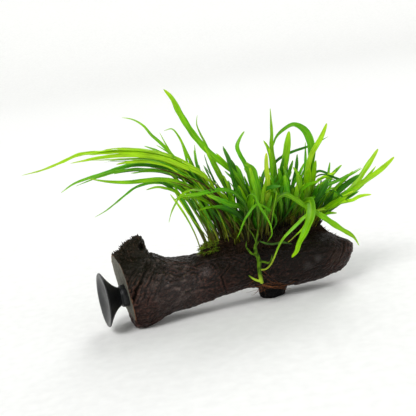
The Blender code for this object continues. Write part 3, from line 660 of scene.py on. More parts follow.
# The bark stains the outer 2 mm
stained = remap(sawn, attribute(sawn, "from_rim"), 2.0, 0.7)
rimmed = blend(sawn, stained, ringed, "#6A4220")
feed(sawn, shader, Base_Color=rimmed, Normal=relief(sawn, threads, 0.7, 0.6))
print(f"growth rings {RING_GAP} mm apart round {[round(value / MM) for value in pith]}")

# %% Dress the driftwood
def dress(made, material, slot, *nodes):
    """Gives a finished piece its material, shades it smooth, hides the CAD nodes that it stands for
    and hangs it on the root body. The slot is not used.
    """
    if material and material.name not in made.data.materials:
        made.data.materials.append(material)
    select_only(made)
    bpy.ops.object.shade_smooth()
    if nodes:
        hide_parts(*nodes)
    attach(made, "root")


wood.data.materials.append(driftwood)
wood.data.materials.append(sawn)
for face in wood.data.polygons:
    face.material_index = int(all(cut_face[corner] for corner in face.vertices))
dress(wood, None, "wet_driftwood", "driftwood_trunk", "driftwood_top_stub", "driftwood_under_stub")
wood_tree = BVHTree.FromObject(wood, bpy.context.evaluated_depsgraph_get())
print(f"driftwood: {len(wood.data.polygons)} faces")
# %% [markdown]
# ## Suction cup
# The cup is one rubber moulding, round about its own axis. It could be cut from a cylinder, but a
# profile spun all the way round gives the thin lip, the hollow cone, the neck groove and the knob.
# %% Suction cup
CUP_TURN = math.radians(17.5)
CUP_AXIS = Vector((math.cos(CUP_TURN), math.sin(CUP_TURN), 0))
CUP_STEPS = 96
SUNK = 3  # mm that the knob's end goes into the wood


def add_mesh(name, points, faces):
    """A new object with a mesh of these points and faces."""
    mesh = bpy.data.meshes.new(name)
    mesh.from_pydata([tuple(point) for point in points], [], [tuple(face) for face in faces])
    made = bpy.data.objects.new(name, mesh)
    bpy.context.scene.collection.objects.link(made)
    return made


cup_copy = copy_node("suction_cup", "cup_copy")
corners = [corner.co for corner in cup_copy.data.vertices]
rim_plane = min(corner.dot(CUP_AXIS) for corner in corners)
lip_ring = [corner for corner in corners if corner.dot(CUP_AXIS) < rim_plane + 0.1 * MM]
lip_centre = sum(lip_ring, Vector()) / len(lip_ring)
bpy.data.objects.remove(cup_copy)
wood_hit = wood_tree.ray_cast(lip_centre, CUP_AXIS)[3] / MM
# Distance behind the lip and distance from the axis, in mm
CUP_PROFILE = [
    # the hollow inside
    (3.4, 0.0), (3.35, 1.2), (3.2, 4.0), (2.9, 7.0), (2.3, 10.5), (1.5, 13.2), (0.75, 15.3),
    (0.25, 16.6), (0.03, 17.6), (0.0, 19.3),
    # the thin lip and the cone behind it
    (0.12, 19.8), (0.45, 19.98), (0.85, 19.85), (1.3, 19.2), (2.2, 17.8), (3.2, 16.0),
    (4.2, 14.5), (5.6, 12.5), (7.0, 10.8), (8.3, 9.4), (9.6, 8.3), (10.6, 7.6), (11.1, 7.4),
    # the neck groove and the knob
    (11.4, 7.1), (11.8, 6.9), (12.5, 6.9), (12.8, 7.2), (13.0, 7.8), (13.8, 8.1), (15.0, 8.2),
    (wood_hit + SUNK, 8.1), (wood_hit + SUNK, 0.0),
]
points = []
for behind, radius in CUP_PROFILE:
    points.append(lip_centre + (CUP_AXIS * behind + Vector((0, 0, radius))) * MM)
cup = add_mesh("suction_cup_rubber", points, [])
cup.data.edges.add(len(points) - 1)
ends = [end for i in range(len(points) - 1) for end in (i, i + 1)]
cup.data.edges.foreach_set("vertices", ends)
select_only(cup)
bpy.ops.object.mode_set(mode="EDIT")
bpy.ops.mesh.select_all(action="SELECT")
bpy.ops.mesh.spin(steps=CUP_STEPS, angle=math.tau, center=lip_centre, axis=CUP_AXIS)
bpy.ops.mesh.select_all(action="SELECT")
bpy.ops.mesh.remove_doubles(threshold=1e-6)
bpy.ops.mesh.normals_make_consistent(inside=False)
bpy.ops.object.mode_set(mode="OBJECT")
cup_width = 2 * max(radius for _, radius in CUP_PROFILE)
print(f"cup: {cup_width:.0f} mm across, wood {wood_hit:.1f} mm behind its lip")

# %% [markdown]
# ## Black rubber
# The cup is moulded in soft black rubber, which is never quite black: dust and fine pores give it a
# soft grey sheen. An even colour would look like a hole in the picture, so one noise varies both
# its tone and its roughness, and a second one roughens the skin by a fraction of a millimetre.
# %% Moulded black rubber
rubber, shader = new_material("moulded_black_rubber", 0.4, Specular_IOR_Level=0.35)
where = put(rubber, "TexCoord").outputs["Object"]
dust = soft_noise(rubber, where, 6, 5.0)
tone = ramp(rubber, dust, (0.35, "#07080A"), (0.75, "#111214"))
dull = ramp(rubber, dust, (0.35, 0.32), (0.75, 0.48))
specks = relief(rubber, soft_noise(rubber, where, 0.9, 2.0), 0.12, 0.3)
feed(rubber, shader, Base_Color=tone, Roughness=dull, Normal=specks)
dress(cup, rubber, "black_rubber", "suction_cup")
bpy.ops.object.shade_smooth_by_angle(angle=math.radians(50))
print(f"cup: {len(cup.data.polygons)} faces")
# %% [markdown]
# ## Lines of the CAD fronds
# Each CAD frond is a skin of twelve rings of four corners between two end points. Its line could be
# drawn again by hand, but walking outwards from an end point gives the rings back in order, and
# with them the midrib, its width and the way it faces. A finer leaf laid on that line then stays
# where the CAD has it.
# %% Read the rings of a CAD frond
SIDES = 4


def rings_of(node):
    """Rings of a CAD frond, from one end point to the other, in mm."""
    work = bmesh.new()
    work.from_mesh(NODES[node].data)
    bmesh.ops.remove_doubles(work, verts=work.verts, dist=1e-6)
    for start in work.verts:
        if len(start.link_edges) != SIDES:
            continue
        layers, seen = [[start]], {start}
        while layers[-1]:
            edges = [(corner, edge) for corner in layers[-1] for edge in corner.link_edges]
            linked = {edge.other_vert(corner) for corner, edge in edges}
            layers.append(sorted(linked - seen, key=lambda corner: corner.index))
            seen |= linked
        layers.pop()
        whole = all(len(layer) == SIDES for layer in layers[1:-1])
        if whole and len(layers) > 3 and len(layers[-1]) == 1:
            break
    else:
        raise ValueError(f"{node} has no rings of {SIDES}")
    result = []
    for layer in layers:
        # Opposite corners lie side by side, so that a pair spans the frond
        if len(layer) == SIDES:
            first = layer[0]
            beside = {edge.other_vert(first) for edge in first.link_edges}
            opposite = next(corner for corner in layer[1:] if corner not in beside)
            pair = [corner for corner in layer if corner not in (first, opposite)]
            layer = [first, opposite, *pair]
        result.append(np.array([corner.co[:] for corner in layer]) / MM)
    work.free()
    return result


print(f"{len(rings_of('frond_plantlet')) - 2} rings in a frond")


# %% Helpers for lines
def resample(values, places):
    """Values at these places from 0 to 1, on the smooth curve through evenly spaced ones."""
    values = np.asarray(values, float)
    spans = len(values) - 1
    padded = np.vstack([2 * values[:1] - values[1:2], values, 2 * values[-1:] - values[-2:-1]])
    at = np.clip(places, 0, 1) * spans
    span = np.minimum(at.astype(int), spans - 1)
    t = (at - span)[:, None]
    before, start, end, after = (padded[span + step] for step in range(4))
    leave, arrive = (end - before) / 2, (after - start) / 2
    curve = start * (2 * t**3 - 3 * t**2 + 1) + leave * (t**3 - 2 * t**2 + t)
    return curve + end * (3 * t**2 - 2 * t**3) + arrive * (t**3 - t**2)


def unit(vectors):
    """Each vector at length 1."""
    return vectors / np.linalg.norm(vectors, axis=1)[:, None].clip(1e-9)


def length_of(middle):
    """Length of a line that is given by its points."""
    return np.linalg.norm(np.diff(middle, axis=0), axis=1).sum()


corner = resample([(0, 0), (1, 0), (1, 1)], np.linspace(0, 1, 9))
print(f"a smooth line round a corner is {length_of(corner):.2f} long")

# %% Midrib, facing and width of every CAD frond
# Half widths at the two end points (mm), and the way that a frond's upper side mostly faces
FOOT_HALF, TIP_HALF = 0.55, 0.05
UPPER_SIDE = np.array([0, -0.75, 0.66])


def frond_line(node, stem_points):
    """Midrib, facing directions and half widths of a CAD frond, base first."""
    rings = rings_of(node)
    from_stem = [np.linalg.norm(stem_points - rings[end][0], axis=1).min() for end in (0, -1)]
    if from_stem[0] > from_stem[1]:
        rings = rings[::-1]
    middle = np.array([ring.mean(0) for ring in rings])
    pairs = [(ring[0] - ring[1], ring[2] - ring[3]) for ring in rings[1:-1]]
    sizes = np.array([[np.linalg.norm(a), np.linalg.norm(b)] for a, b in pairs])
    widest = int(sizes.max(1).argmax())
    wide = [None] * len(pairs)
    wide[widest] = pairs[widest][int(sizes[widest].argmax())]
    for order, step in ((range(widest + 1, len(pairs)), -1), (range(widest - 1, -1, -1), 1)):
        for index in order:
            former = wide[index + step]
            best = max(pairs[index], key=lambda pair: abs(pair @ former) / np.linalg.norm(pair))
            wide[index] = best if best @ former > 0 else -best
    half = np.array([FOOT_HALF, *[np.linalg.norm(w) / 2 for w in wide], TIP_HALF])
    side = unit(np.array([wide[0], *wide, wide[-1]]))
    tangent = unit(np.gradient(middle, axis=0))
    facing = unit(np.cross(tangent, side))
    if (facing[3:9] @ UPPER_SIDE).mean() < 0:
        facing = -facing
    return middle, facing, half


STEMS = {"frond_plantlet": "plantlet_stem", "frond_runner": "runner"}
stem_corners = {}
RHIZOMES = ("rhizome_left", "rhizome_middle", "rhizome_right")
for stem in (*RHIZOMES, *STEMS.values()):
    stem_corners[stem] = np.array([corner.co[:] for corner in NODES[stem].data.vertices]) / MM
all_rhizomes = np.vstack([stem_corners[stem] for stem in RHIZOMES])
LINES = {}
for node in sorted(NODES):
    if node.startswith("frond_"):
        LINES[node] = frond_line(node, stem_corners.get(STEMS.get(node), all_rhizomes))
longest = max(length_of(middle) for middle, _, _ in LINES.values())
print(f"{len(LINES)} frond lines, longest {longest:.0f} mm")
# %% [markdown]
# ## Leaf of the narrow java fern
# A frond is a thin strap on a wiry stalk: a groove above, a raised midrib below, and margins that
# wave a little. One flat blank is modelled from a grid and given its thickness, and each frond is
# a copy of it, laid along its own line. A Curve modifier bends a blank too, but can't follow the
# twist and width that the CAD gives at every ring.
# %% Leaf blanks
def leaf_blank(name, rows, columns):
    """A flat strip, from -1 to 1 both ways, with closed edges."""
    bpy.ops.object.select_all(action="DESELECT")
    bpy.ops.mesh.primitive_grid_add(x_subdivisions=rows, y_subdivisions=columns, size=2)
    blank = bpy.context.object
    blank.name = name
    apply_modifier(blank, "SOLIDIFY", thickness=0.2, offset=0.0)
    return blank


fine_blank = leaf_blank("fine_blank", 84, 8)
plain_blank = leaf_blank("plain_blank", 40, 4)
for blank in (fine_blank, plain_blank):
    for layer in list(blank.data.uv_layers):
        blank.data.uv_layers.remove(layer)
print(f"blanks of {len(fine_blank.data.polygons)} and {len(plain_blank.data.polygons)} faces")

# %% Lay a blank on a line
GROWN = 70.0  # mm from the foot, where the blade has its full colour; below that it is browner for its age and darker with painted shade at the crowded foot
BLADE_FROM, BLADE_GROWTH = 0.16, 0.25  # shares of the length over which the stalk turns to blade
STALK_RADIUS, HALF_BLADE, RIB_HEIGHT = 0.62, 0.11, 0.42  # mm
THINNEST = 0.04  # mm, half the width that a tip keeps
WAVE = 0.1  # how far the margins ripple, as a share of the half width
TANGENT_STEP = 0.004  # share of the length


def lay_leaf(blank, name, line, seed, width=1.0, blunt=0.0):
    """A copy of the blank along a line, with the frond's own section."""
    middle, facing, half = line
    places, _ = corners_of(blank)
    share = (places[:, 0] + 1) / 2
    across = np.sign(places[:, 1]) * np.abs(places[:, 1]) ** 1.25
    upper = places[:, 2] > 0
    centre = resample(middle, share)
    ahead = resample(middle, np.minimum(share + TANGENT_STEP, 1))
    behind = resample(middle, np.maximum(share - TANGENT_STEP, 0))
    tangent = unit(ahead - behind)
    face = resample(facing, share)
    face = unit(face - tangent * (face * tangent).sum(1)[:, None])
    beside = np.cross(face, tangent)
    half_here = resample(half[:, None], share)[:, 0].clip(THINNEST) * width
    # A blunt tip keeps its width for longer, then closes in a short curve
    kept = half.max() * width * np.clip((1 - share) / 0.14, 0, 1) ** 0.42
    fuller = np.minimum(half_here + blunt * (kept - half_here).clip(0), kept)
    half_here = np.where(share > 0.55, fuller, half_here).clip(THINNEST)
    blade = np.clip((share - BLADE_FROM) / BLADE_GROWTH, 0, 1)
    blade = blade * blade * (3 - 2 * blade)
    length = length_of(middle)
    travelled = share * length
    draw = random.Random(seed)
    pitch, start = draw.uniform(9, 15), draw.uniform(0, 6)
    # The margins wave a little, and not together
    ripple = np.sin(travelled * math.tau / pitch + start + 1.7 * np.sign(across))
    lift = blade * np.abs(across) ** 1.8 * half_here * (0.16 + WAVE * ripple)
    off_rib = across * half_here
    # A groove above and a raised midrib below, on a round stalk
    rib = RIB_HEIGHT * (1 - 0.7 * share) * np.exp(-((off_rib / 0.5) ** 2))
    stalk = (1 - blade) * STALK_RADIUS * np.sqrt(np.clip(1 - across**2, 0.02, 1))
    top = blade * (HALF_BLADE - 0.5 * rib) + stalk
    under = blade * (HALF_BLADE + rib) + stalk
    fade = np.clip((1 - share) / 0.1, 0.25, 1)
    height = lift + np.where(upper, top, -under) * fade
    laid = centre + beside * off_rib[:, None] + face * height[:, None]
    made = bpy.data.objects.new(name, blank.data.copy())
    bpy.context.scene.collection.objects.link(made)
    move_corners(made, kept_inside(laid) * MM)
    corner_of_loop = np.empty(len(made.data.loops), int)
    made.data.loops.foreach_get("vertex_index", corner_of_loop)
    maps = {"leaf": (share, (across + 1) / 2), "real_size_cm": (travelled / 10, off_rib / 10)}
    for layer, sides in maps.items():
        pairs = np.column_stack(sides)[corner_of_loop].astype(np.float32)
        made.data.uv_layers.new(name=layer).data.foreach_set("uv", pairs.ravel())
    set_attribute(made, "tone", np.full(len(share), draw.random()))
    set_attribute(made, "age", np.clip(travelled / min(GROWN, 0.8 * length), 0, 1))
    return made


print(f"blades {2 * HALF_BLADE:.2f} mm thick, with a midrib {RIB_HEIGHT} mm high")
# %% [markdown]
# ## Leaf finishes
# A wet fern leaf has a waxy skin over pale tissue: light that enters comes out again yellower, so
# a thin leaf glows against the light. Subsurface scattering gives that. The stalk is brown, the
# blade turns green above it, darker near its foot with painted shade where the fronds crowd, and
# yellower to the tip. The midrib and the net of veins show as fine lines, and the streaks along
# the veins are partly painted streaks of light. The leaf's own UV map says how far along and
# across a point is.
# %% Leaf materials
def leaf_material(name, stalk, base, grown, tip, other):
    """Living fern leaf: five colours, from the stalk's foot to the tip, and one for variation."""
    made, shader = new_material(
        name, 0.36, IOR=1.42, Specular_IOR_Level=0.22, Subsurface_Weight=0.3,
        Subsurface_Radius=(0.6, 1.0, 0.2), Subsurface_Scale=0.001,
    )
    on_leaf = put(made, "UVMap", uv_map="leaf").outputs["UV"]
    split = put(made, "SeparateXYZ", {"Vector": on_leaf}).outputs
    age, tone = attribute(made, "age"), attribute(made, "tone")
    mottle = soft_noise(made, put(made, "TexCoord").outputs["Object"], 9, 2.0)
    # From stalk to blade with its age and with painted shade at the crowded foot, and yellower
    # again along its last quarter
    body = ramp(made, age, (0.0, stalk), (0.24, stalk), (0.46, base), (0.9, grown))
    body = blend(made, remap(made, split["X"], 0.75, 1.0, 0.0, 0.8), body, tip)
    # Some leaves, and patches on each, lean to the other colour
    strength = remap(made, product(made, tone, mottle), 0.1, 0.55, 0.0, 0.9)
    on_blade = remap(made, age, 0.35, 0.7)
    varied = blend(made, product(made, strength, on_blade), body, other)
    # The midrib and the margins are paler
    from_rib = put(made, "Math", {0: split["Y"], 1: 0.5}, operation="SUBTRACT").outputs[0]
    from_rib = put(made, "Math", {0: from_rib}, operation="ABSOLUTE").outputs[0]
    rib = ramp(made, from_rib, (0.0, 1.0), (0.05, 0.6), (0.12, 0.0), (0.44, 0.0), (0.5, 0.5))
    veined = blend(made, product(made, rib, 0.35), varied, tip)
    # Veins run up the blade about 1 mm apart, as lighter and darker streaks that are partly painted
    # streaks of light, and no two leaves are equally dark
    size = put(made, "UVMap", uv_map="real_size_cm").outputs["UV"]
    lengthwise = {"Vector": mapped(made, size, Scale=(0.8, 11, 1)), "Scale": 1.0, "Detail": 2.0}
    veins_and_sheen = put(made, "TexNoise", lengthwise).outputs["Fac"]
    light = remap(made, veins_and_sheen, 0.35, 0.65, 0.76, 1.2)
    light = product(made, light, remap(made, tone, 0.0, 1.0, 1.14, 0.84))
    lit = blend(made, 1.0, veined, light, "MULTIPLY")
    # The meshes of the net are 1 to 2 mm wide
    meshes = {"Vector": size, "Scale": 10 / 1.6}
    net = put(made, "TexVoronoi", meshes, feature="DISTANCE_TO_EDGE").outputs["Distance"]
    shine = remap(made, mottle, 0.0, 1.0, 0.28, 0.46)
    feed(made, shader, Base_Color=lit, Roughness=shine, Normal=relief(made, net, 0.2, 0.3))
    return made


# bright, middle and dark are one green in light, half shade and deep shade, so they are partly
# painted light and shade; sunlit is painted full light
# Finish: name of the material, then stalk, foot of the blade, grown blade, tip, variation
GREENS = {
    "bright": ("fern_leaf_bright", "#4A4010", "#2F5C06", "#63A204", "#9CC814", "#86BC08"),
    "middle": ("fern_leaf_middle", "#3A3010", "#214C05", "#4A9806", "#88BE10", "#66A808"),
    "dark": ("fern_leaf_dark", "#281A0A", "#143204", "#286604", "#549610", "#387C08"),
    "yellow": ("fern_leaf_young", "#3C3C0C", "#6C9010", "#A2C41C", "#C4DC3C", "#B4D028"),
    "sunlit": ("fern_leaf_sunlit", "#7C861C", "#78A614", "#A0D418", "#B6DA2C", "#9AC812"),
    "plantlet": ("fern_leaf_plantlet", "#8A9A24", "#76A014", "#6EB218", "#92CC1E", "#7AB814"),
    "stalk": ("old_brown_stalk", "#2E160A", "#4A2410", "#4E2A10", "#5C5C14", "#3A2410"),
}
LEAF = {finish: leaf_material(*colours) for finish, colours in GREENS.items()}
print(f"{len(LEAF)} leaf finishes")

# %% [markdown]
# ## The named leaves
# The 47 fronds that stand out on the plant each get the fine blank on their own line. A few differ
# from their solids: four have other widths along their length, and where two cross in front, the
# broad one arches over the long one. The finished leaves could be pulled into place one by one, but
# a change to the line before the leaf is laid keeps its section and its UV maps whole.
# %% Correct four widths and three lines
# Leaves whose width was measured along them: shares of the length, and half widths there in mm
MEASURED = {
    "frond_plantlet": ((0, 0.3, 0.5, 0.72, 0.9, 1), (0.6, 0.65, 0.8, 1.25, 1.1, 0.2)),
    "frond_front_broad": (
        (0, 0.2, 0.36, 0.46, 0.56, 0.69, 0.85, 0.93, 1),
        (0.7, 0.9, 2.4, 3.4, 3.7, 3.1, 2.3, 1.9, 1.4),
    ),
    "frond_front_long": (
        (0, 0.15, 0.3, 0.4, 0.53, 0.65, 0.77, 0.9, 1),
        (0.7, 0.9, 1.8, 2.0, 2.1, 2.3, 2.7, 1.9, 0.2),
    ),
}
# The arch stays broad up its right side, then it is thin over the top: shares of the CAD's width
ARCH = ((0, 0.66, 0.78, 1), (1, 1, 0.4, 0.35))
# The broad leaf arches over the long one in front: shares of the length, then mm to the right, up
# and towards the viewer
NUDGED = {
    "frond_front_broad": (
        (0.23, 0.31, 0.38, 0.46, 0.54, 0.62, 0.69, 0.85, 1),
        (0, 0.8, 2.5, 2.1, 1.7, 1.6, 0.9, 0.3, 0.8),
        (0, 1.6, 5.2, 4.4, 3.0, 2.0, 1.0, 0.3, -0.5),
        (0, 1, 6, 11, 10.4, 9.5, 8, 5, 2),
    ),
    "frond_front_long": (
        (0.2, 0.42, 0.56, 0.66, 0.77, 0.85, 0.93),
        (0, 0, 0, 0, 0.3, 0.2, 0),
        (0, 0, 0, 0.8, 2.6, 1.2, 0),
        (0, -4.5, -6.5, -5, -2.5, -1, 0),
    ),
    "frond_plantlet": ((0.55, 1), (0, 0), (0, 0), (0, -8)),
}
arch_half = LINES["frond_right_arch"][2]
arch_half *= np.interp(np.linspace(0, 1, len(arch_half)), *ARCH)
for node, (shares, widths) in MEASURED.items():
    half = LINES[node][2]
    half[:] = np.interp(np.linspace(0, 1, len(half)), shares, widths)
for node, (shares, *distances) in NUDGED.items():
    middle = LINES[node][0]
    at = np.linspace(0, 1, len(middle))
    toward_eye = unit(np.array(camera.location) / MM - middle)
    for axis, distance in zip((np.array(view_right), np.array(view_up), toward_eye), distances):
        middle += axis * np.interp(at, shares, distance)[:, None]
print(f"{len(MEASURED) + 1} leaves of another width, {len(NUDGED)} on moved lines")

# %% Lay a leaf on every CAD frond
# Share of the line's width, and finish, where the photo shows a frond to differ from its slot
ALTERED = {
    "frond_front_broad": (1.0, "bright"),
    "frond_front_curl": (0.5, "middle"),
    "frond_front_left": (1.1, "middle"),
    "frond_front_level": (0.72, "middle"),
    "frond_front_long": (1.0, "bright"),
    "frond_front_thin": (0.7, "middle"),
    "frond_front_yellow": (0.4, "bright"),
    "frond_left_fourth": (0.9, "bright"),
    "frond_left_longest": (1.0, "sunlit"),
    "frond_left_low": (0.85, "middle"),
    "frond_left_second": (1.0, "sunlit"),
    "frond_left_upper": (1.0, "sunlit"),
    "frond_middle_bent": (0.9, "middle"),
    "frond_middle_broad": (1.3, "bright"),
    "frond_middle_pale": (1.25, "yellow"),
    "frond_plantlet": (1.0, "plantlet"),
    "frond_right_arch": (1.25, "middle"),
    "frond_right_flat": (0.9, "sunlit"),
    "frond_right_high": (1.0, "sunlit"),
    "frond_right_low": (0.95, "sunlit"),
    "frond_right_top": (1.0, "sunlit"),
    "frond_runner": (0.6, "sunlit"),
    "frond_upper_pale": (0.8, "bright"),
}
# Words in the names of fronds that run out to a point. The others have a blunter tip
POINTED = ("frond_left", "upper", "thin", "stem", "plantlet", "runner", "upright", "arch")
POINTED += ("curl", "yellow")
BLUNT, POINTED_BLUNT = 0.9, 0.3
slots = set()
for seed, node in enumerate(LINES):
    shade = NODES[node].data.materials[0].name.split(".")[0].replace("leaf_", "")
    shade = shade if shade in LEAF else "bright"
    width, finish = ALTERED.get(node, (1.0, shade))
    blunt = POINTED_BLUNT if any(word in node for word in POINTED) else BLUNT
    if node in MEASURED:
        blunt = 0.0
    name = node.replace("frond_", "leaf_")
    leaf = lay_leaf(fine_blank, name, LINES[node], seed, width, blunt)
    dress(leaf, LEAF[finish], "leaf_" + shade, node)
    slots.add("leaf_" + shade)
print(f"{len(LINES)} leaves of {len(leaf.data.polygons)} faces each", sorted(slots))
# %% [markdown]
# ## The thicket between the named fronds
# The real plant is crowded with thin fronds and bare stalks, far more than the CAD holds as solids
# of their own. The ones that can be told apart are drawn in the front view, each with a thinner
# neighbour behind it. Between them stand fans, the stalks of the left sweep and a dark heart, which
# are placed by chance within limits. Particles would fill the gap sooner, but they wouldn't lean
# and bow the way these do, so each is a copy of the plain blank laid on a line of its own.
# %% Fronds drawn in the front view
# Clump, finish, half width and depth of the tip (mm), then pixels of the front view, foot first
TRACED = [
    ("left_sweep", "sunlit", 1.5, -18,
     "238,237 233,222 222,203 208,184 192,168 172,158 148,152.5 120,150.5 100,152.5 90,155"),
    ("left_sweep", "sunlit", 1.3, -26,
     "232,238 226,222 212,200 196,181 178,167 155,157.5 130,154.5 105,156 86,159"),
    ("left_sweep", "sunlit", 1.1, -12,
     "218,239 208,220 196,202 184,186 170,172 150,162 128,159 106,160 92,160.5"),
    ("left_sweep", "dark", 1.2, -24,
     "236,237 228,220 215,199 202,184 184,173 163,167 142,165 125,167 112,171"),
    ("left_sweep", "dark", 1.0, -8,
     "233,238 222,218 210,199 196,186 178,176.5 158,171 140,170 124,171.5 114,174"),
    ("left_sweep", "middle", 1.0, 6,
     "208,240 199,222 189,206 180,194 170,186 160,181 150,180 140,181.5"),
    ("left_sweep", "bright", 0.9, -30,
     "212,240 204,224 194,208 184,197 172,190 158,187 146,190"),
    ("left_sweep", "dark", 1.0, 2,
     "240,236 232,218 220,200 206,187 190,178 174,172 160,168 150,167"),
    ("left_sweep", "middle", 0.9, 12,
     "222,238 210,218 196,201 182,190 166,184 150,183.5"),
    ("left_sweep", "bright", 0.9, -20,
     "215,240 206,220 195,202 182,188 166,180 152,177.5"),
    ("left_sweep", "dark", 1.1, 14,
     "243,236 232,214 220,196 206,182 192,172 180,166 168,162"),
    ("left_sweep", "dark", 1.0, -16,
     "238,236 226,212 212,192 198,178 186,170 174,165 160,163"),
    ("left_sweep", "middle", 1.1, -10,
     "246,236 236,216 224,200 212,189 198,181 186,177 174,175"),
    ("left_sweep", "bright", 1.0, -34,
     "244,237 232,222 220,210 208,201 196,196 184,196 174,200"),
    ("left_rise", "middle", 0.9, 14,
     "234,236 222,212 206,190 190,172 174,160 158,151 144,146"),
    ("left_rise", "bright", 0.8, 4,
     "231,238 220,216 206,196 196,180 188,164 184,150 180,138"),
    ("left_rise", "bright", 1.2, -26,
     "250,238 240,218 228,205 214,198 200,195 188,195 178,198"),
    ("left_rise", "middle", 1.0, 22,
     "228,238 218,214 208,192 200,176 196,162 194,150"),
    ("left_rise", "dark", 1.1, 0,
     "236,238 227,214 220,196 214,180 208,166 204,154"),
    ("left_rise", "dark", 1.2, 10,
     "244,236 236,212 228,194 222,178 216,164"),
    ("left_rise", "bright", 1.2, -14,
     "247,237 238,212 227,190 217,172 210,158 204,146"),
    ("left_rise", "middle", 1.0, -22,
     "240,238 228,222 216,208 205,198 194,191 184,187"),
    ("left_rise", "dark", 0.9, -4,
     "226,239 216,220 205,203 196,192 186,184 176,180"),
    ("middle_rise", "dark", 2.0, 12,
     "256,237 252,214 246,196 238,180 232,168 228,157 223,147"),
    ("middle_rise", "bright", 1.4, -10,
     "260,236 259,212 258,194 256,178 252,168 246,162"),
    ("middle_rise", "middle", 2.4, -24,
     "262,237 260,216 257,196 254,184 251,174 248,165"),
    ("middle_rise", "dark", 1.6, 8,
     "256,236 257,214 259,196 262,180 266,167"),
    ("middle_rise", "dark", 1.7, 4,
     "272,228 276,210 279,190 281,172 284,156"),
    ("middle_rise", "dark", 1.5, 14,
     "240,236 240,214 238,196 236,184 231,172"),
    ("middle_rise", "middle", 1.6, 6,
     "246,236 247,212 245,192 241,176 236,165"),
    ("middle_rise", "bright", 1.4, -6,
     "252,237 249,212 244,192 236,176 226,164 216,153"),
    ("middle_rise", "dark", 2.4, -42,
     "256,238 249,226 240,216 231,210 222,207 213,206"),
    ("middle_rise", "middle", 2.5, -44,
     "258,237 250,218 241,207 230,204 219,200 207,195"),
    ("middle_rise", "bright", 0.7, -28,
     "257,241 252,234 246,226 240,218 233,209 226,204"),
    ("middle_rise", "dark", 1.6, -24,
     "254,236 253,214 257,199 264,190 272,187 281,186"),
    ("middle_rise", "middle", 1.8, -16,
     "264,236 265,214 262,198 255,186 250,176 244,168"),
    ("middle_rise", "bright", 1.3, 0,
     "266,236 268,212 271,192 272,176 271,160 269,148"),
    ("right_rise", "bright", 1.6, 2,
     "296,224 300,206 302,190 299,176 293,167"),
    ("right_rise", "middle", 1.3, -6,
     "282,226 284,206 288,192 294,182 300,172 304,163"),
    ("right_rise", "middle", 1.4, -14,
     "286,225 290,208 296,196 303,188 310,184 318,181"),
    ("right_rise", "bright", 2.0, 24,
     "288,224 294,210 300,200 304,190 307,176"),
    ("right_rise", "middle", 2.0, 18,
     "292,224 296,204 300,188 306,174 308,160"),
    ("right_rise", "middle", 1.4, 14,
     "276,226 280,204 284,186 289,172 293,160"),
    ("right_rise", "middle", 2.1, -4,
     "284,225 285,206 284,192 281,180 278,168"),
    ("right_rise", "bright", 2.2, 0,
     "300,223 306,206 311,190 314,174 316,160"),
    ("right_sweep", "sunlit", 1.2, 20,
     "298,222 302,204 308,190 318,180 328,175 336,172"),
    ("right_sweep", "middle", 0.9, 30,
     "304,222 314,206 324,192 331,180 336,168"),
    ("right_sweep", "bright", 1.2, -4,
     "306,222 316,208 326,197 336,187 345,179 353,171"),
    ("right_sweep", "dark", 0.6, -12,
     "300,222 312,204 322,192 332,190 340,195 348,201"),
    ("right_sweep", "bright", 1.4, 8,
     "310,222 322,212 334,202 346,194 357,186 367,177 376,166"),
    ("right_sweep", "bright", 1.8, -18,
     "308,222 318,213 328,207 338,202 347,197"),
    ("right_sweep", "bright", 1.1, -10,
     "314,222 320,216 328,213 337,213"),
    ("right_sweep", "sunlit", 1.3, 26,
     "302,223 311,210 320,200 330,192 339,186 348,183"),
    ("right_sweep", "bright", 1.2, 16,
     "305,222 311,208 319,196 325,184 329,172"),
    ("right_sweep", "bright", 1.1, -16,
     "311,222 322,209 333,199 343,193 352,189 360,187"),
    ("right_sweep", "middle", 1.0, 34,
     "309,222 318,206 325,190 328,175 330,162"),
    ("right_rise", "dark", 2.4, -20,
     "305,222 308,211 314,202 320,194 325,186 328,178"),
    ("right_sweep", "middle", 0.7, -8,
     "300,222 304,204 312,191 325,186 340,180 352,174 362,168"),
    ("right_sweep", "dark", 0.6, 2,
     "300,222 306,198 313,180 321,174 335,177 352,184"),
    ("right_rise", "bright", 2.3, -12,
     "290,225 294,208 298,194 299,182 297,172"),
    ("right_rise", "bright", 2.4, -8,
     "300,223 304,206 307,192 308,178 310,168"),
    ("right_rise", "middle", 2.2, -10,
     "276,226 278,208 277,194 273,182 268,174"),
    ("right_rise", "middle", 2.2, 0,
     "284,225 288,208 289,192 287,178 283,166"),
    ("middle_rise", "middle", 2.3, -16,
     "268,230 270,212 272,198 271,186 267,176"),
    ("left_sweep", "bright", 1.4, -20,
     "236,238 226,220 212,201 198,186 182,172 164,162 145,158.5 125,159 108,161"),
    ("left_sweep", "sunlit", 1.2, -28,
     "238,238 228,221 214,203 200,188 184,175 166,165 147,161.5 130,162 116,164.5"),
    ("left_sweep", "stalk", 0.5, -30,
     "240,237 230,220 217,203 203,190 186,178 168,171 152,167"),
    ("left_sweep", "stalk", 0.5, -32,
     "246,236 237,219 225,203 213,191 199,182 185,176"),
    ("left_rise", "stalk", 0.5, -34,
     "250,236 240,219 228,205 216,195 206,188"),
    ("left_rise", "stalk", 0.5, -30,
     "236,238 229,224 221,211 212,201 202,193"),
    ("left_rise", "stalk", 0.5, -33,
     "243,237 237,222 229,208 219,196 210,186"),
]
print(f"{len(TRACED)} fronds drawn")

# %% Lay the drawn fronds, each with a neighbour
# Column of the foot in the front view, and its depth on the wood in mm
FOOT_DEPTH = ((200, 262, 266, 330), (-10, -9, 6, 15))
SLIMMEST = 0.32  # mm, half the width that a filler keeps everywhere


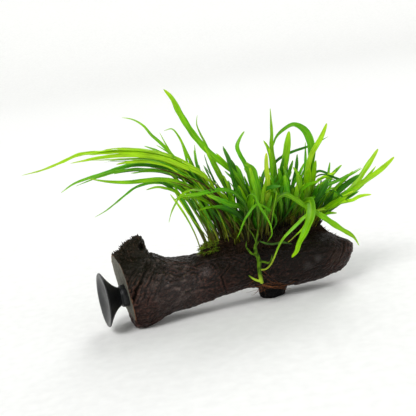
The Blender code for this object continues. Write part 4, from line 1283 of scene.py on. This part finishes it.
def traced_line(pixels, half, tip_depth, turn, twist, foot_share):
    """Midrib, facing directions and half widths of a frond that is drawn in the front view."""
    foot_depth = np.interp(pixels[0][0], *FOOT_DEPTH)
    shares = np.linspace(0, 1, len(pixels))
    depths = foot_depth + (tip_depth - foot_depth) * shares
    middle = np.array([in_view(c, r, d) for (c, r), d in zip(pixels, depths)])
    middle = resample(middle, np.linspace(0, 1, 14))
    share = np.linspace(0, 1, len(middle))
    foot = np.array(wood_tree.find_nearest(Vector(middle[0]) * MM)[0]) / MM
    middle = middle + (foot + [0, 0, 0.4] - middle[0]) * ((1 - share) ** 3)[:, None]
    tangent = unit(np.gradient(middle, axis=0))
    side = unit(np.cross(tangent, np.array(camera.location) / MM - middle))
    angle = (turn + twist * share)[:, None]
    facing = unit(np.cross(side, tangent) * np.cos(angle) + side * np.sin(angle))
    widths = (foot_share, foot_share, 0.8, 1, 0.6, 0.06)
    shape = np.interp(share, (0, 0.26, 0.5, 0.7, 0.9, 1), widths)
    return middle, facing, half * shape.clip(SLIMMEST / half)


draw = random.Random(5)
clumps = {}


def plant(clump, finish, half, tip_depth, pixels, foot_share=0.3):
    """One more leaf of a clump."""
    turn, twist = draw.gauss(0, 0.5), draw.gauss(0, 0.6)
    line = traced_line(pixels, half, tip_depth, turn, twist, foot_share)
    seed = draw.randrange(10**6)
    leaf = lay_leaf(plain_blank, "filler", line, seed, blunt=draw.uniform(0.2, 0.8))
    leaf.data.materials.append(LEAF[finish])
    clumps.setdefault(clump, []).append(leaf)


for clump, finish, half, tip_depth, text in TRACED:
    pixels = np.array([pair.split(",") for pair in text.split()], float)
    plant(clump, finish, half, tip_depth, pixels)
    # A thinner frond beside it, behind and a little shorter
    wander = np.linspace(0.2, 1, len(pixels)) ** 1.5
    aside = np.outer(wander, (draw.gauss(0, 5), draw.gauss(2, 4)))
    shades = ("sunlit", "bright") if clump.startswith("right") else ("dark", "middle")
    neighbour = draw.choice((*shades, finish))
    plant(clump, neighbour, 0.7 * half, tip_depth + draw.gauss(10, 8), (pixels + aside)[:-1])
print({clump: len(leaves) for clump, leaves in clumps.items()})

# %% Fans and stalks between them
FANS, LEFT_STALKS, BARE_STALKS = 84, 12, 30
# Columns of the front view: where the left fronds end, and where the right ones stand upright
BORDER, UPRIGHT = 262, 280
FAN_CLUMPS = ("left_rise", "middle_rise", "right_rise", "right_sweep")


def arc(foot, lean, height, bow=0.0, power=1.0, count=6):
    """Pixels of a frond that rises from its foot, leans this far and bows on the way."""
    shares = np.linspace(0, 1, count)
    columns = foot[0] + lean * shares**power + bow * np.sin(math.pi * shares)
    return np.column_stack([columns, foot[1] - height * shares])


# Fronds of middle length fan out from the whole rhizome
for number in range(FANS):
    column = draw.uniform(226, 318)
    on_left = column < BORDER
    row = 238 if on_left else 224
    spread = (column - BORDER) * 0.6 - 6 if on_left else (column - UPRIGHT) * 0.7
    height = draw.uniform(30, 64 if on_left else 52)
    lean, bow = draw.gauss(spread, 12), draw.gauss(0, 7)
    if column > 285 and number % 2:
        continue
    second = "middle" if column < UPRIGHT else "sunlit"
    finish = draw.choice(("bright", second, "middle", "dark"))
    clump = FAN_CLUMPS[min(3, int((column - 226) / 26))]
    half = draw.uniform(0.9, 1.9) if on_left else draw.uniform(1.3, 2.4)
    depth = np.interp(column, *FOOT_DEPTH) + draw.uniform(-20, 24)
    plant(clump, finish, half, depth, arc((column, row), lean, height, bow, 1.4))
# Broader stalks lean out furthest on the left, with light between them
for _ in range(LEFT_STALKS):
    column, height = draw.uniform(199, 224), draw.uniform(40, 62)
    pixels = arc((column, 240), -(0.6 * height + draw.gauss(0, 4)), height, power=1.2)
    finish = draw.choice(("sunlit", "bright", "sunlit", "middle"))
    half, depth = draw.uniform(0.8, 1.25), draw.uniform(-26, -4)
    plant("left_stalks", finish, half, depth, pixels, 0.6)
# Bare stalks of the left sweep
for _ in range(BARE_STALKS):
    column, height = draw.uniform(204, 246), draw.uniform(44, 72)
    lean, bow = -0.55 * height + draw.gauss(0, 5), draw.uniform(1, 6)
    finish = draw.choice(("sunlit", "sunlit", "middle", "dark", "stalk"))
    half, depth = draw.uniform(0.36, 0.6), draw.uniform(-30, 18)
    plant("left_stalks", finish, half, depth, arc((column, 239), lean, height, bow, 1.3))
print({clump: len(leaves) for clump, leaves in clumps.items()})

# %% The crowded heart of the plant
# Short fronds and bare stalks, dark with their own shade
HEART = 150
for number in range(HEART):
    column = draw.uniform(212, 318)
    row = 238 if column < BORDER else 224
    height, lean = draw.uniform(18, 46), draw.gauss((column - BORDER) * 0.12, 7)
    thin = column < 242
    if thin and number % 2:
        continue
    if thin:
        lean -= height * 0.45
    pixels = arc((column, row), lean, height, draw.gauss(0, 3), count=5)
    if thin:
        finish, half = draw.choice(("bright", "sunlit", "middle", "stalk")), draw.uniform(0.35, 0.6)
    else:
        second = "dark" if column < 290 else "bright"
        finish, half = draw.choice(("dark", second, "middle")), draw.uniform(0.7, 1.7)
    depth = np.interp(column, *FOOT_DEPTH) + draw.uniform(-12, 26)
    plant("heart", finish, half, depth, pixels, 0.3 if thin else 0.65)
for clump, leaves in clumps.items():
    select_only(*leaves)
    bpy.ops.object.join()
    leaves[0].name = "thicket_" + clump
    dress(leaves[0], None, "leaf_middle")
print(f"{sum(len(leaves) for leaves in clumps.values())} fronds and stalks in {len(clumps)} clumps")
# %% [markdown]
# ## Rhizomes
# The fronds grow from creeping stems nearly as thick as a pencil, dark, scaly and bound to the
# wood by their roots. A tube would look too even, so each CAD rhizome is remeshed finely and lumped
# with noise, then covered with small scales that are modelled once and scattered. No frond stands
# on the right one's last part, so that thins out and lies down on the wood.
# %% Helpers for stems and skins
def refine(node, name, voxel, smoothing, fatten=0.0):
    """A fine, smooth copy of a CAD node."""
    made = copy_node(node, name)
    made.data.remesh_voxel_size = voxel * MM
    select_only(made)
    bpy.ops.object.voxel_remesh()
    apply_modifier(made, "SMOOTH", iterations=smoothing, factor=0.5)
    if fatten:
        apply_modifier(made, "DISPLACE", strength=fatten * MM, mid_level=0.0)
    return made


def skin_material(name, dark, light, size, roughness, bump=0.5, gloss=0.2):
    """Plant skin or root: two colours in patches of this size in mm, and a fine relief."""
    made, shader = new_material(name, roughness, Specular_IOR_Level=gloss)
    patches = soft_noise(made, put(made, "TexCoord").outputs["Object"], size, 4.0)
    tone = ramp(made, patches, (0.35, dark), (0.68, light))
    feed(made, shader, Base_Color=tone, Normal=relief(made, patches, bump, 0.4))
    return made


print("stems are copied from", ", ".join(RHIZOMES))

# %% Rhizome bodies
# The bare end of the right rhizome: where it begins, its length (mm), the share left at its tip
BARE_FROM, BARE_LENGTH, BARE_LEAST = 73.0, 11.0, 0.14
END_LENGTH = 14  # mm before a rhizome's right end, over which its underside rises
rhizome_skin = skin_material("scaly_rhizome_skin", "#090604", "#2A1C10", 1.3, 0.7, 0.9, 0.06)
rhizome_places = {}
for node in RHIZOMES:
    rhizome = refine(node, node + "_skin", 0.4, 8)
    places, normals = corners_of(rhizome)
    swell = 0.5 * noise_at(places / MM, 3.5, 8) + 0.35 * noise_at(places / MM, 1.4, 9, 2)
    grown = places / MM + normals * swell[:, None]
    for index in np.flatnonzero(normals[:, 2] < 0.2):
        # Its own roots fill the gap below, so the underside reaches down to the wood
        gap = wood_tree.ray_cast(Vector(places[index]), Vector((0, 0, -1)))[3]
        if gap:
            from_end = (places[:, 0].max() - places[index, 0]) / (END_LENGTH * MM)
            downward = min(1.0, 0.3 - 1.2 * normals[index, 2])
            grown[index, 2] -= min(gap / MM + 0.4, 3.0) * downward * np.clip(from_end, 0.15, 1)
    if node == "rhizome_right":
        thin = np.clip(1 - (grown[:, 0] - BARE_FROM) / BARE_LENGTH, BARE_LEAST, 1)
        slices = np.arange(grown[:, 0].min(), grown[:, 0].max(), 2)
        middles = [grown[np.abs(grown[:, 0] - at) < 2][:, 1:].mean(0) for at in slices]
        sides, heights = np.array(middles).T
        for index in np.flatnonzero(thin < 1):
            at, share = grown[index, 0], thin[index]
            side, height = np.interp(at, slices, sides), np.interp(at, slices, heights)
            over = Vector((at, side, height + 20)) * MM
            wood_top = wood_tree.ray_cast(over, Vector((0, 0, -1)))[0]
            lying = wood_top.z / MM + 2.6 * share if wood_top else height
            settled = height + (lying - height) * (1 - share) / (1 - BARE_LEAST)
            grown[index, 1] = side + (grown[index, 1] - side) * share
            grown[index, 2] = settled + (grown[index, 2] - height) * share
    move_corners(rhizome, kept_inside(grown) * MM)
    rhizome_places[node] = corners_of(rhizome)
    dress(rhizome, rhizome_skin, "rhizome_skin", node)
print({node: len(places) for node, (places, _) in rhizome_places.items()}, "vertices")

# %% Scatter scales on the rhizomes
def scatter(name, master, matrices):
    """One mesh of many copies of a small shape, one for each matrix."""
    corners = np.array([corner.co[:] for corner in master.data.vertices])
    faces = [tuple(face.vertices) for face in master.data.polygons]
    points, all_faces = [], []
    for number, matrix in enumerate(matrices):
        turn, place = np.array(matrix.to_3x3()), np.array(matrix.translation)
        points.append(corners @ turn.T + place)
        all_faces += [tuple(corner + number * len(corners) for corner in face) for face in faces]
    inside = np.clip(np.vstack(points), *[np.array(corner) for corner in CAD_BOX])
    return add_mesh(name, inside, all_faces)


SCALES = 150  # on each rhizome
# Radius at the foot and at the tip, and length, in mm
SCALE_FOOT, SCALE_TIP, SCALE_LENGTH = 0.55 * MM, 0.08 * MM, 2.6 * MM
bpy.ops.object.select_all(action="DESELECT")
bpy.ops.mesh.primitive_cone_add(
    vertices=6, radius1=SCALE_FOOT, radius2=SCALE_TIP, depth=SCALE_LENGTH
)
scale = bpy.context.object
bpy.ops.object.mode_set(mode="EDIT")
bpy.ops.transform.resize(value=(1, 0.35, 1))
bpy.ops.object.mode_set(mode="OBJECT")
matrices = []
for places, normals in rhizome_places.values():
    axis = Vector(places.max(0) - places.min(0)).normalized()
    for _ in range(SCALES):
        index = draw.randrange(len(places))
        normal = Vector(normals[index])
        lean = (axis * draw.choice((-1, 1)) + normal * draw.uniform(0.4, 1.1)).normalized()
        turn = lean.to_track_quat("Z", "Y").to_matrix().to_4x4()
        size = Matrix.Scale(draw.uniform(0.6, 1.2), 4)
        place = Matrix.Translation(Vector(places[index]) + lean * 0.7 * MM)
        matrices.append(place @ turn @ size)
scales = scatter("rhizome_scales", scale, matrices)
bpy.data.objects.remove(scale)
dress(scales, skin_material("dry_brown_scales", "#1C1208", "#4A3418", 1.2, 0.7), "rhizome_skin")
print(f"{len(matrices)} scales")
# %% [markdown]
# ## Hair roots
# Hair roots hold the rhizomes to the wood: dark and wiry, they creep down over its surface. Each is
# a curve with a round bevel, turned into a mesh, which keeps hundreds of them light. A hair system
# would comb them more quickly, but it wouldn't follow the wood. The same tool then draws the old
# stalks on the crown, the splinters, the moss and the rust-brown tuft.
# %% Strands
def strands(name, lines, detail=0):
    """A mesh of thin round strands. A line is a list of places and radii, in mm."""
    curve = bpy.data.curves.new(name, "CURVE")
    curve.dimensions = "3D"
    curve.bevel_depth = MM
    curve.bevel_resolution = detail
    curve.use_fill_caps = True
    for line in lines:
        spline = curve.splines.new("POLY")
        spline.points.add(len(line) - 1)
        for point, (place, radius) in zip(spline.points, line):
            kept = np.clip(place, LOW + radius, HIGH - radius)
            point.co = (*(kept * MM), 1)
            point.radius = radius
    made = bpy.data.objects.new(name, curve)
    bpy.context.scene.collection.objects.link(made)
    select_only(made)
    bpy.ops.object.convert(target="MESH")
    return bpy.context.object


def jitter(*spreads):
    """Chance numbers, one for each mean and spread."""
    return [draw.gauss(*spread) for spread in spreads]


print(f"a strand of radius 1 is {2 * MM} m thick")

# %% Hair roots
HAIR_ROOTS = 110  # tries on each rhizome
ROOT_STEP, ROOT_LIFT = 1.1, 0.1  # mm along the wood, and above it


def creeping(start, heading, length, radius):
    """A hair root that follows the driftwood's surface from start."""
    line, place, heading = [], Vector(start), Vector(heading)
    count = max(4, int(length / ROOT_STEP))
    for index in range(count):
        hit, normal, _, _ = wood_tree.find_nearest(place * MM)
        place = hit / MM + normal * ROOT_LIFT
        line.append((np.array(place), radius * (1 - 0.75 * index / count)))
        heading = heading + Vector(jitter((0, 0.35), (0, 0.35), (0, 0.35)))
        heading = (heading - normal * heading.dot(normal)).normalized()
        place = place + heading * ROOT_STEP
    return line


lines = []
for places, normals in rhizome_places.values():
    for _ in range(HAIR_ROOTS):
        index = draw.randrange(len(places))
        if normals[index][2] > 0.5:
            continue
        heading = Vector((draw.gauss(0, 0.6), normals[index][1], -0.7)).normalized()
        length, radius = draw.uniform(5, 17), draw.uniform(0.14, 0.3)
        lines.append(creeping(places[index] / MM, heading, length, radius))
hair_roots = strands("hair_roots", lines)
root_skin = skin_material("dark_hair_roots", "#0A0704", "#2C1B0D", 2.5, 0.7)
dress(hair_roots, root_skin, "root_brown")
print(f"{len(lines)} hair roots")

# %% [markdown]
# ## Old stalks
# Where old fronds have rotted off, their stumps stay on the rhizome as a dark brush between the
# living stalks. Copies of one modelled stump would do, but a short tapered strand is lighter, and
# each gets its own lean, length and thickness.
# %% Old stalks along the crown
OLD_STALKS = {"rhizome_left": 30, "rhizome_middle": 110, "rhizome_right": 260}
CROWN_FROM, CROWN_TO = 15 * MM, 76 * MM


def tapered(start, heading, length, radius, taper, shares, droop=Vector(), widest=1.1):
    """A short strand: its places and radii at these shares of its length, in mm."""
    line = []
    for t in shares:
        step = np.array(heading * length * t + droop * length * t * t)
        line.append((start + step, radius * min(widest, 1 - taper * t)))
    return line


lines = []
for node, count in OLD_STALKS.items():
    places, normals = rhizome_places[node]
    on_crown = (places[:, 0] > CROWN_FROM) & (places[:, 0] < CROWN_TO)
    tops = np.flatnonzero((normals[:, 2] > 0.35) & on_crown)
    for _ in range(count):
        index = int(draw.choice(tops))
        heading = Vector(normals[index]) + Vector((*jitter((0, 0.35), (0, 0.35)), 0.7))
        length, radius = draw.uniform(1.5, 7.0), draw.uniform(0.25, 0.55)
        start, shares = places[index] / MM, (-0.1, 0.4, 0.8, 1)
        lines.append(tapered(start, heading.normalized(), length, radius, 0.5, shares))
crown = strands("crown_of_old_stalks", lines)
dress(crown, skin_material("rotted_stalks", "#0C0A04", "#2E2A0E", 3.0, 0.75), "root_brown")
print(f"{len(lines)} old stalks")

# %% [markdown]
# ## Splinters
# The top stub was broken off and not sawn, so its end is a brush of torn fibres. The large shards
# are part of the wood's own mesh. The fine ones would be lost in its remesh, so they are strands
# that grow from the faces round the break.
# %% Splinters where the stub broke off
SPLINTERS = 150
wood_places, wood_normals = corners_of(wood)
broken = (wood_places[:, 0] < -56 * MM) & (wood_places[:, 2] > 52 * MM)
outward = (wood_normals[:, 2] > 0.15) & (wood_normals[:, 0] < 0.25)
broken_end = np.flatnonzero(broken & outward)
lines = []
for _ in range(SPLINTERS):
    index = int(draw.choice(broken_end))
    heading = Vector(wood_normals[index]) * 0.5
    heading = (heading + Vector((*jitter((-0.35, 0.3), (0, 0.3)), 0.9))).normalized()
    length, radius = draw.uniform(0.4, 2.4) * draw.random() + 0.5, draw.uniform(0.5, 0.95)
    start, shares = wood_places[index] / MM, (-0.4, 0.35, 0.75, 1)
    lines.append(tapered(start, heading, length, radius, 0.85, shares, widest=1))
splinters = strands("stub_splinters", lines)
splintered = skin_material("splintered_wood", "#16130B", "#38281A", 2.5, 0.7)
dress(splinters, splintered, "wet_driftwood")
print(f"{len(lines)} splinters")

# %% [markdown]
# ## Moss
# A tuft of olive moss sits on the left rhizome's tip, and a third of it has died back to brown. A
# rough texture on the tip would look flat from the side, so each strand is drawn, and droops a
# little under its own weight.
# %% Moss on the left rhizome's tip
MOSS, MOSS_LENGTH = 620, 14.5 * MM
places, normals = rhizome_places["rhizome_left"]
on_tip = places[:, 0] < places[:, 0].min() + MOSS_LENGTH
near_tip = np.flatnonzero(on_tip & (normals[:, 2] > -0.25))
lines = []
for _ in range(MOSS):
    index = int(draw.choice(near_tip))
    heading = Vector(normals[index]) + Vector(jitter((-0.7, 0.5), (-0.2, 0.4), (0.3, 0.4)))
    length, radius = draw.uniform(1.0, 3.6), draw.uniform(0.12, 0.26)
    droop = Vector((*jitter((0, 0.2), (0, 0.2)), -0.25))
    start, shares = places[index] / MM, (0, 0.4, 0.75, 1)
    lines.append(tapered(start, heading.normalized(), length, radius, 0.6, shares, droop))
# Every third strand has died back
living, dead = lines[::3] + lines[1::3], lines[2::3]
MOSSES = [("moss_tip", living, "#33500A", "#8CB020"), ("dead_moss", dead, "#33260C", "#7E7028")]
for name, share, dark, light in MOSSES:
    moss = strands(name, share)
    dress(moss, skin_material("olive_" + name, dark, light, 3.0, 0.8, 0.2), "stem_green")
print(f"{len(lines)} strands of moss")
# %% [markdown]
# ## Plantlet
# A young plant hangs in front of the wood on a green stem, with small shoots and a thin runner
# beside it. Both could be drawn as curves, but fine, smoothed copies of their CAD nodes keep the
# place where each joins the other. The stem pales towards its lower end, where it is youngest.
# %% Plantlet stem and runner
PALE_END = (20, -24, 20)  # mm
green_skin = skin_material("young_green_stem", "#263E08", "#587E12", 2.6, 0.5, 0.3, 0.08)
shader = green_skin.node_tree.nodes["Principled BSDF"]
skin_tone = shader.inputs["Base Color"].links[0].from_socket
where = put(green_skin, "TexCoord").outputs["Object"]
paler = near(green_skin, where, PALE_END, 8, 4)
feed(green_skin, shader, Base_Color=blend(green_skin, paler, skin_tone, "#9CB832"))
runner_skin = skin_material("dark_runner_skin", "#1C360A", "#4A7818", 2.6, 0.45, 0.3)
for node, skin, fatten in (("plantlet_stem", green_skin, 0.06), ("runner", runner_skin, -0.02)):
    stem = refine(node, node + "_skin", 0.22, 6, fatten)
    dress(stem, skin, "stem_green", node)
# Two thin shoots go on from the stem's top into the plant: radius, then pixels of the front view
TOP_SHOOTS = [
    (0.85, [(256, 244), (256.5, 238), (258, 231), (259, 222)]),
    (0.45, [(256, 242), (253, 235), (249, 229), (245, 221)]),
]
stem_corner_places = [corner.co for corner in NODES["plantlet_stem"].data.vertices]
stem_top = max((place.z, place.y) for place in stem_corner_places)[1] / MM
lines = []
for radius, pixels in TOP_SHOOTS:
    shares = np.linspace(0, 1, 10)
    line = []
    for (column, row), share in zip(resample(np.array(pixels, float), shares), shares):
        place = in_view(column, row, stem_top + 9 * share)
        line.append((place, radius * (1 - 0.45 * share)))
    lines.append(line)
top_shoots = strands("plantlet_top_shoots", lines, 2)
dress(top_shoots, green_skin, "stem_green")
print(f"plantlet's stem, runner and {len(lines)} shoots")

# %% [markdown]
# ## Rust-brown roots
# Young roots are rust-brown and as fine as hair. The five CAD roots give the crown and the tips,
# and three hairs run from one to the other for each of them. Six longer roots lie on the wood. A
# hair system could scatter more of them, but these follow what is seen in front.
# %% Rust-brown roots
# Crown and tips of the five CAD roots, in mm
CROWN = np.array([25.0, -23.8, 17.5])
ROOT_TIPS = [
    (42.6, -23.8, 11.8), (37.5, -22.4, 14.7), (30.8, -24.9, 14.9), (23.6, -24.2, 13.1),
    (18.9, -22.3, 11.9),
]
HAIR_RADIUS, LAID_RADIUS = 0.16, 0.24
# Longer roots lie on the front of the wood: pixels of the front view
LAID_ROOTS = [
    [(262, 270), (268, 275), (276, 281), (283, 286), (289, 289)],
    [(262, 274), (267, 279), (274, 283), (281, 285), (288, 285), (295, 281)],
    [(261, 280), (266, 286), (273, 288), (281, 288), (288, 286)],
    [(260, 282), (260, 287), (259, 292)],
    [(262, 283), (264, 289), (266, 294)],
    [(257, 278), (252, 282), (247, 288)],
]
lines = []
for tip in ROOT_TIPS:
    for number in range(3):
        end = np.array(tip) + jitter((0, 3.0), (0, 0.8), (0, 2.6))
        # The first of the three goes to the very tip of the CAD's root
        if number == 0:
            end = np.array(tip)
        bow = np.array(jitter((0, 1.2), (-0.6, 0.8), (-0.3, 1.0)))
        line = []
        for t in np.linspace(0, 1, 9):
            wiggle = np.array(jitter((0, 0.3), (0, 0.2), (0, 0.3)))
            place = CROWN + (end - CROWN) * t + bow * 4 * t * (1 - t) + wiggle
            line.append((place, HAIR_RADIUS * (1 - 0.5 * t)))
        lines.append(line)
for pixels in LAID_ROOTS:
    line = []
    for column, row in resample(np.array(pixels, float), np.linspace(0, 1, 12)):
        place = spot(column, row)
        if place:
            radius = LAID_RADIUS * (1 - 0.04 * len(line))
            line.append((np.array(place) + [0, -0.25, 0.1], radius))
    lines.append(line)
tuft = strands("root_tuft_hairs", lines, 1)
rusty = skin_material("rust_brown_roots", "#3A1C0C", "#84502A", 1.5, 0.7)
dress(tuft, rusty, "root_brown", "root_tuft")
print(f"{len(lines)} rust-brown roots")

# %% [markdown]
# The blanks have done their work and are removed. The dressed plant must keep the size of its
# solids.
# %% Remove the blanks
for blank in (fine_blank, plain_blank):
    bpy.data.objects.remove(blank)
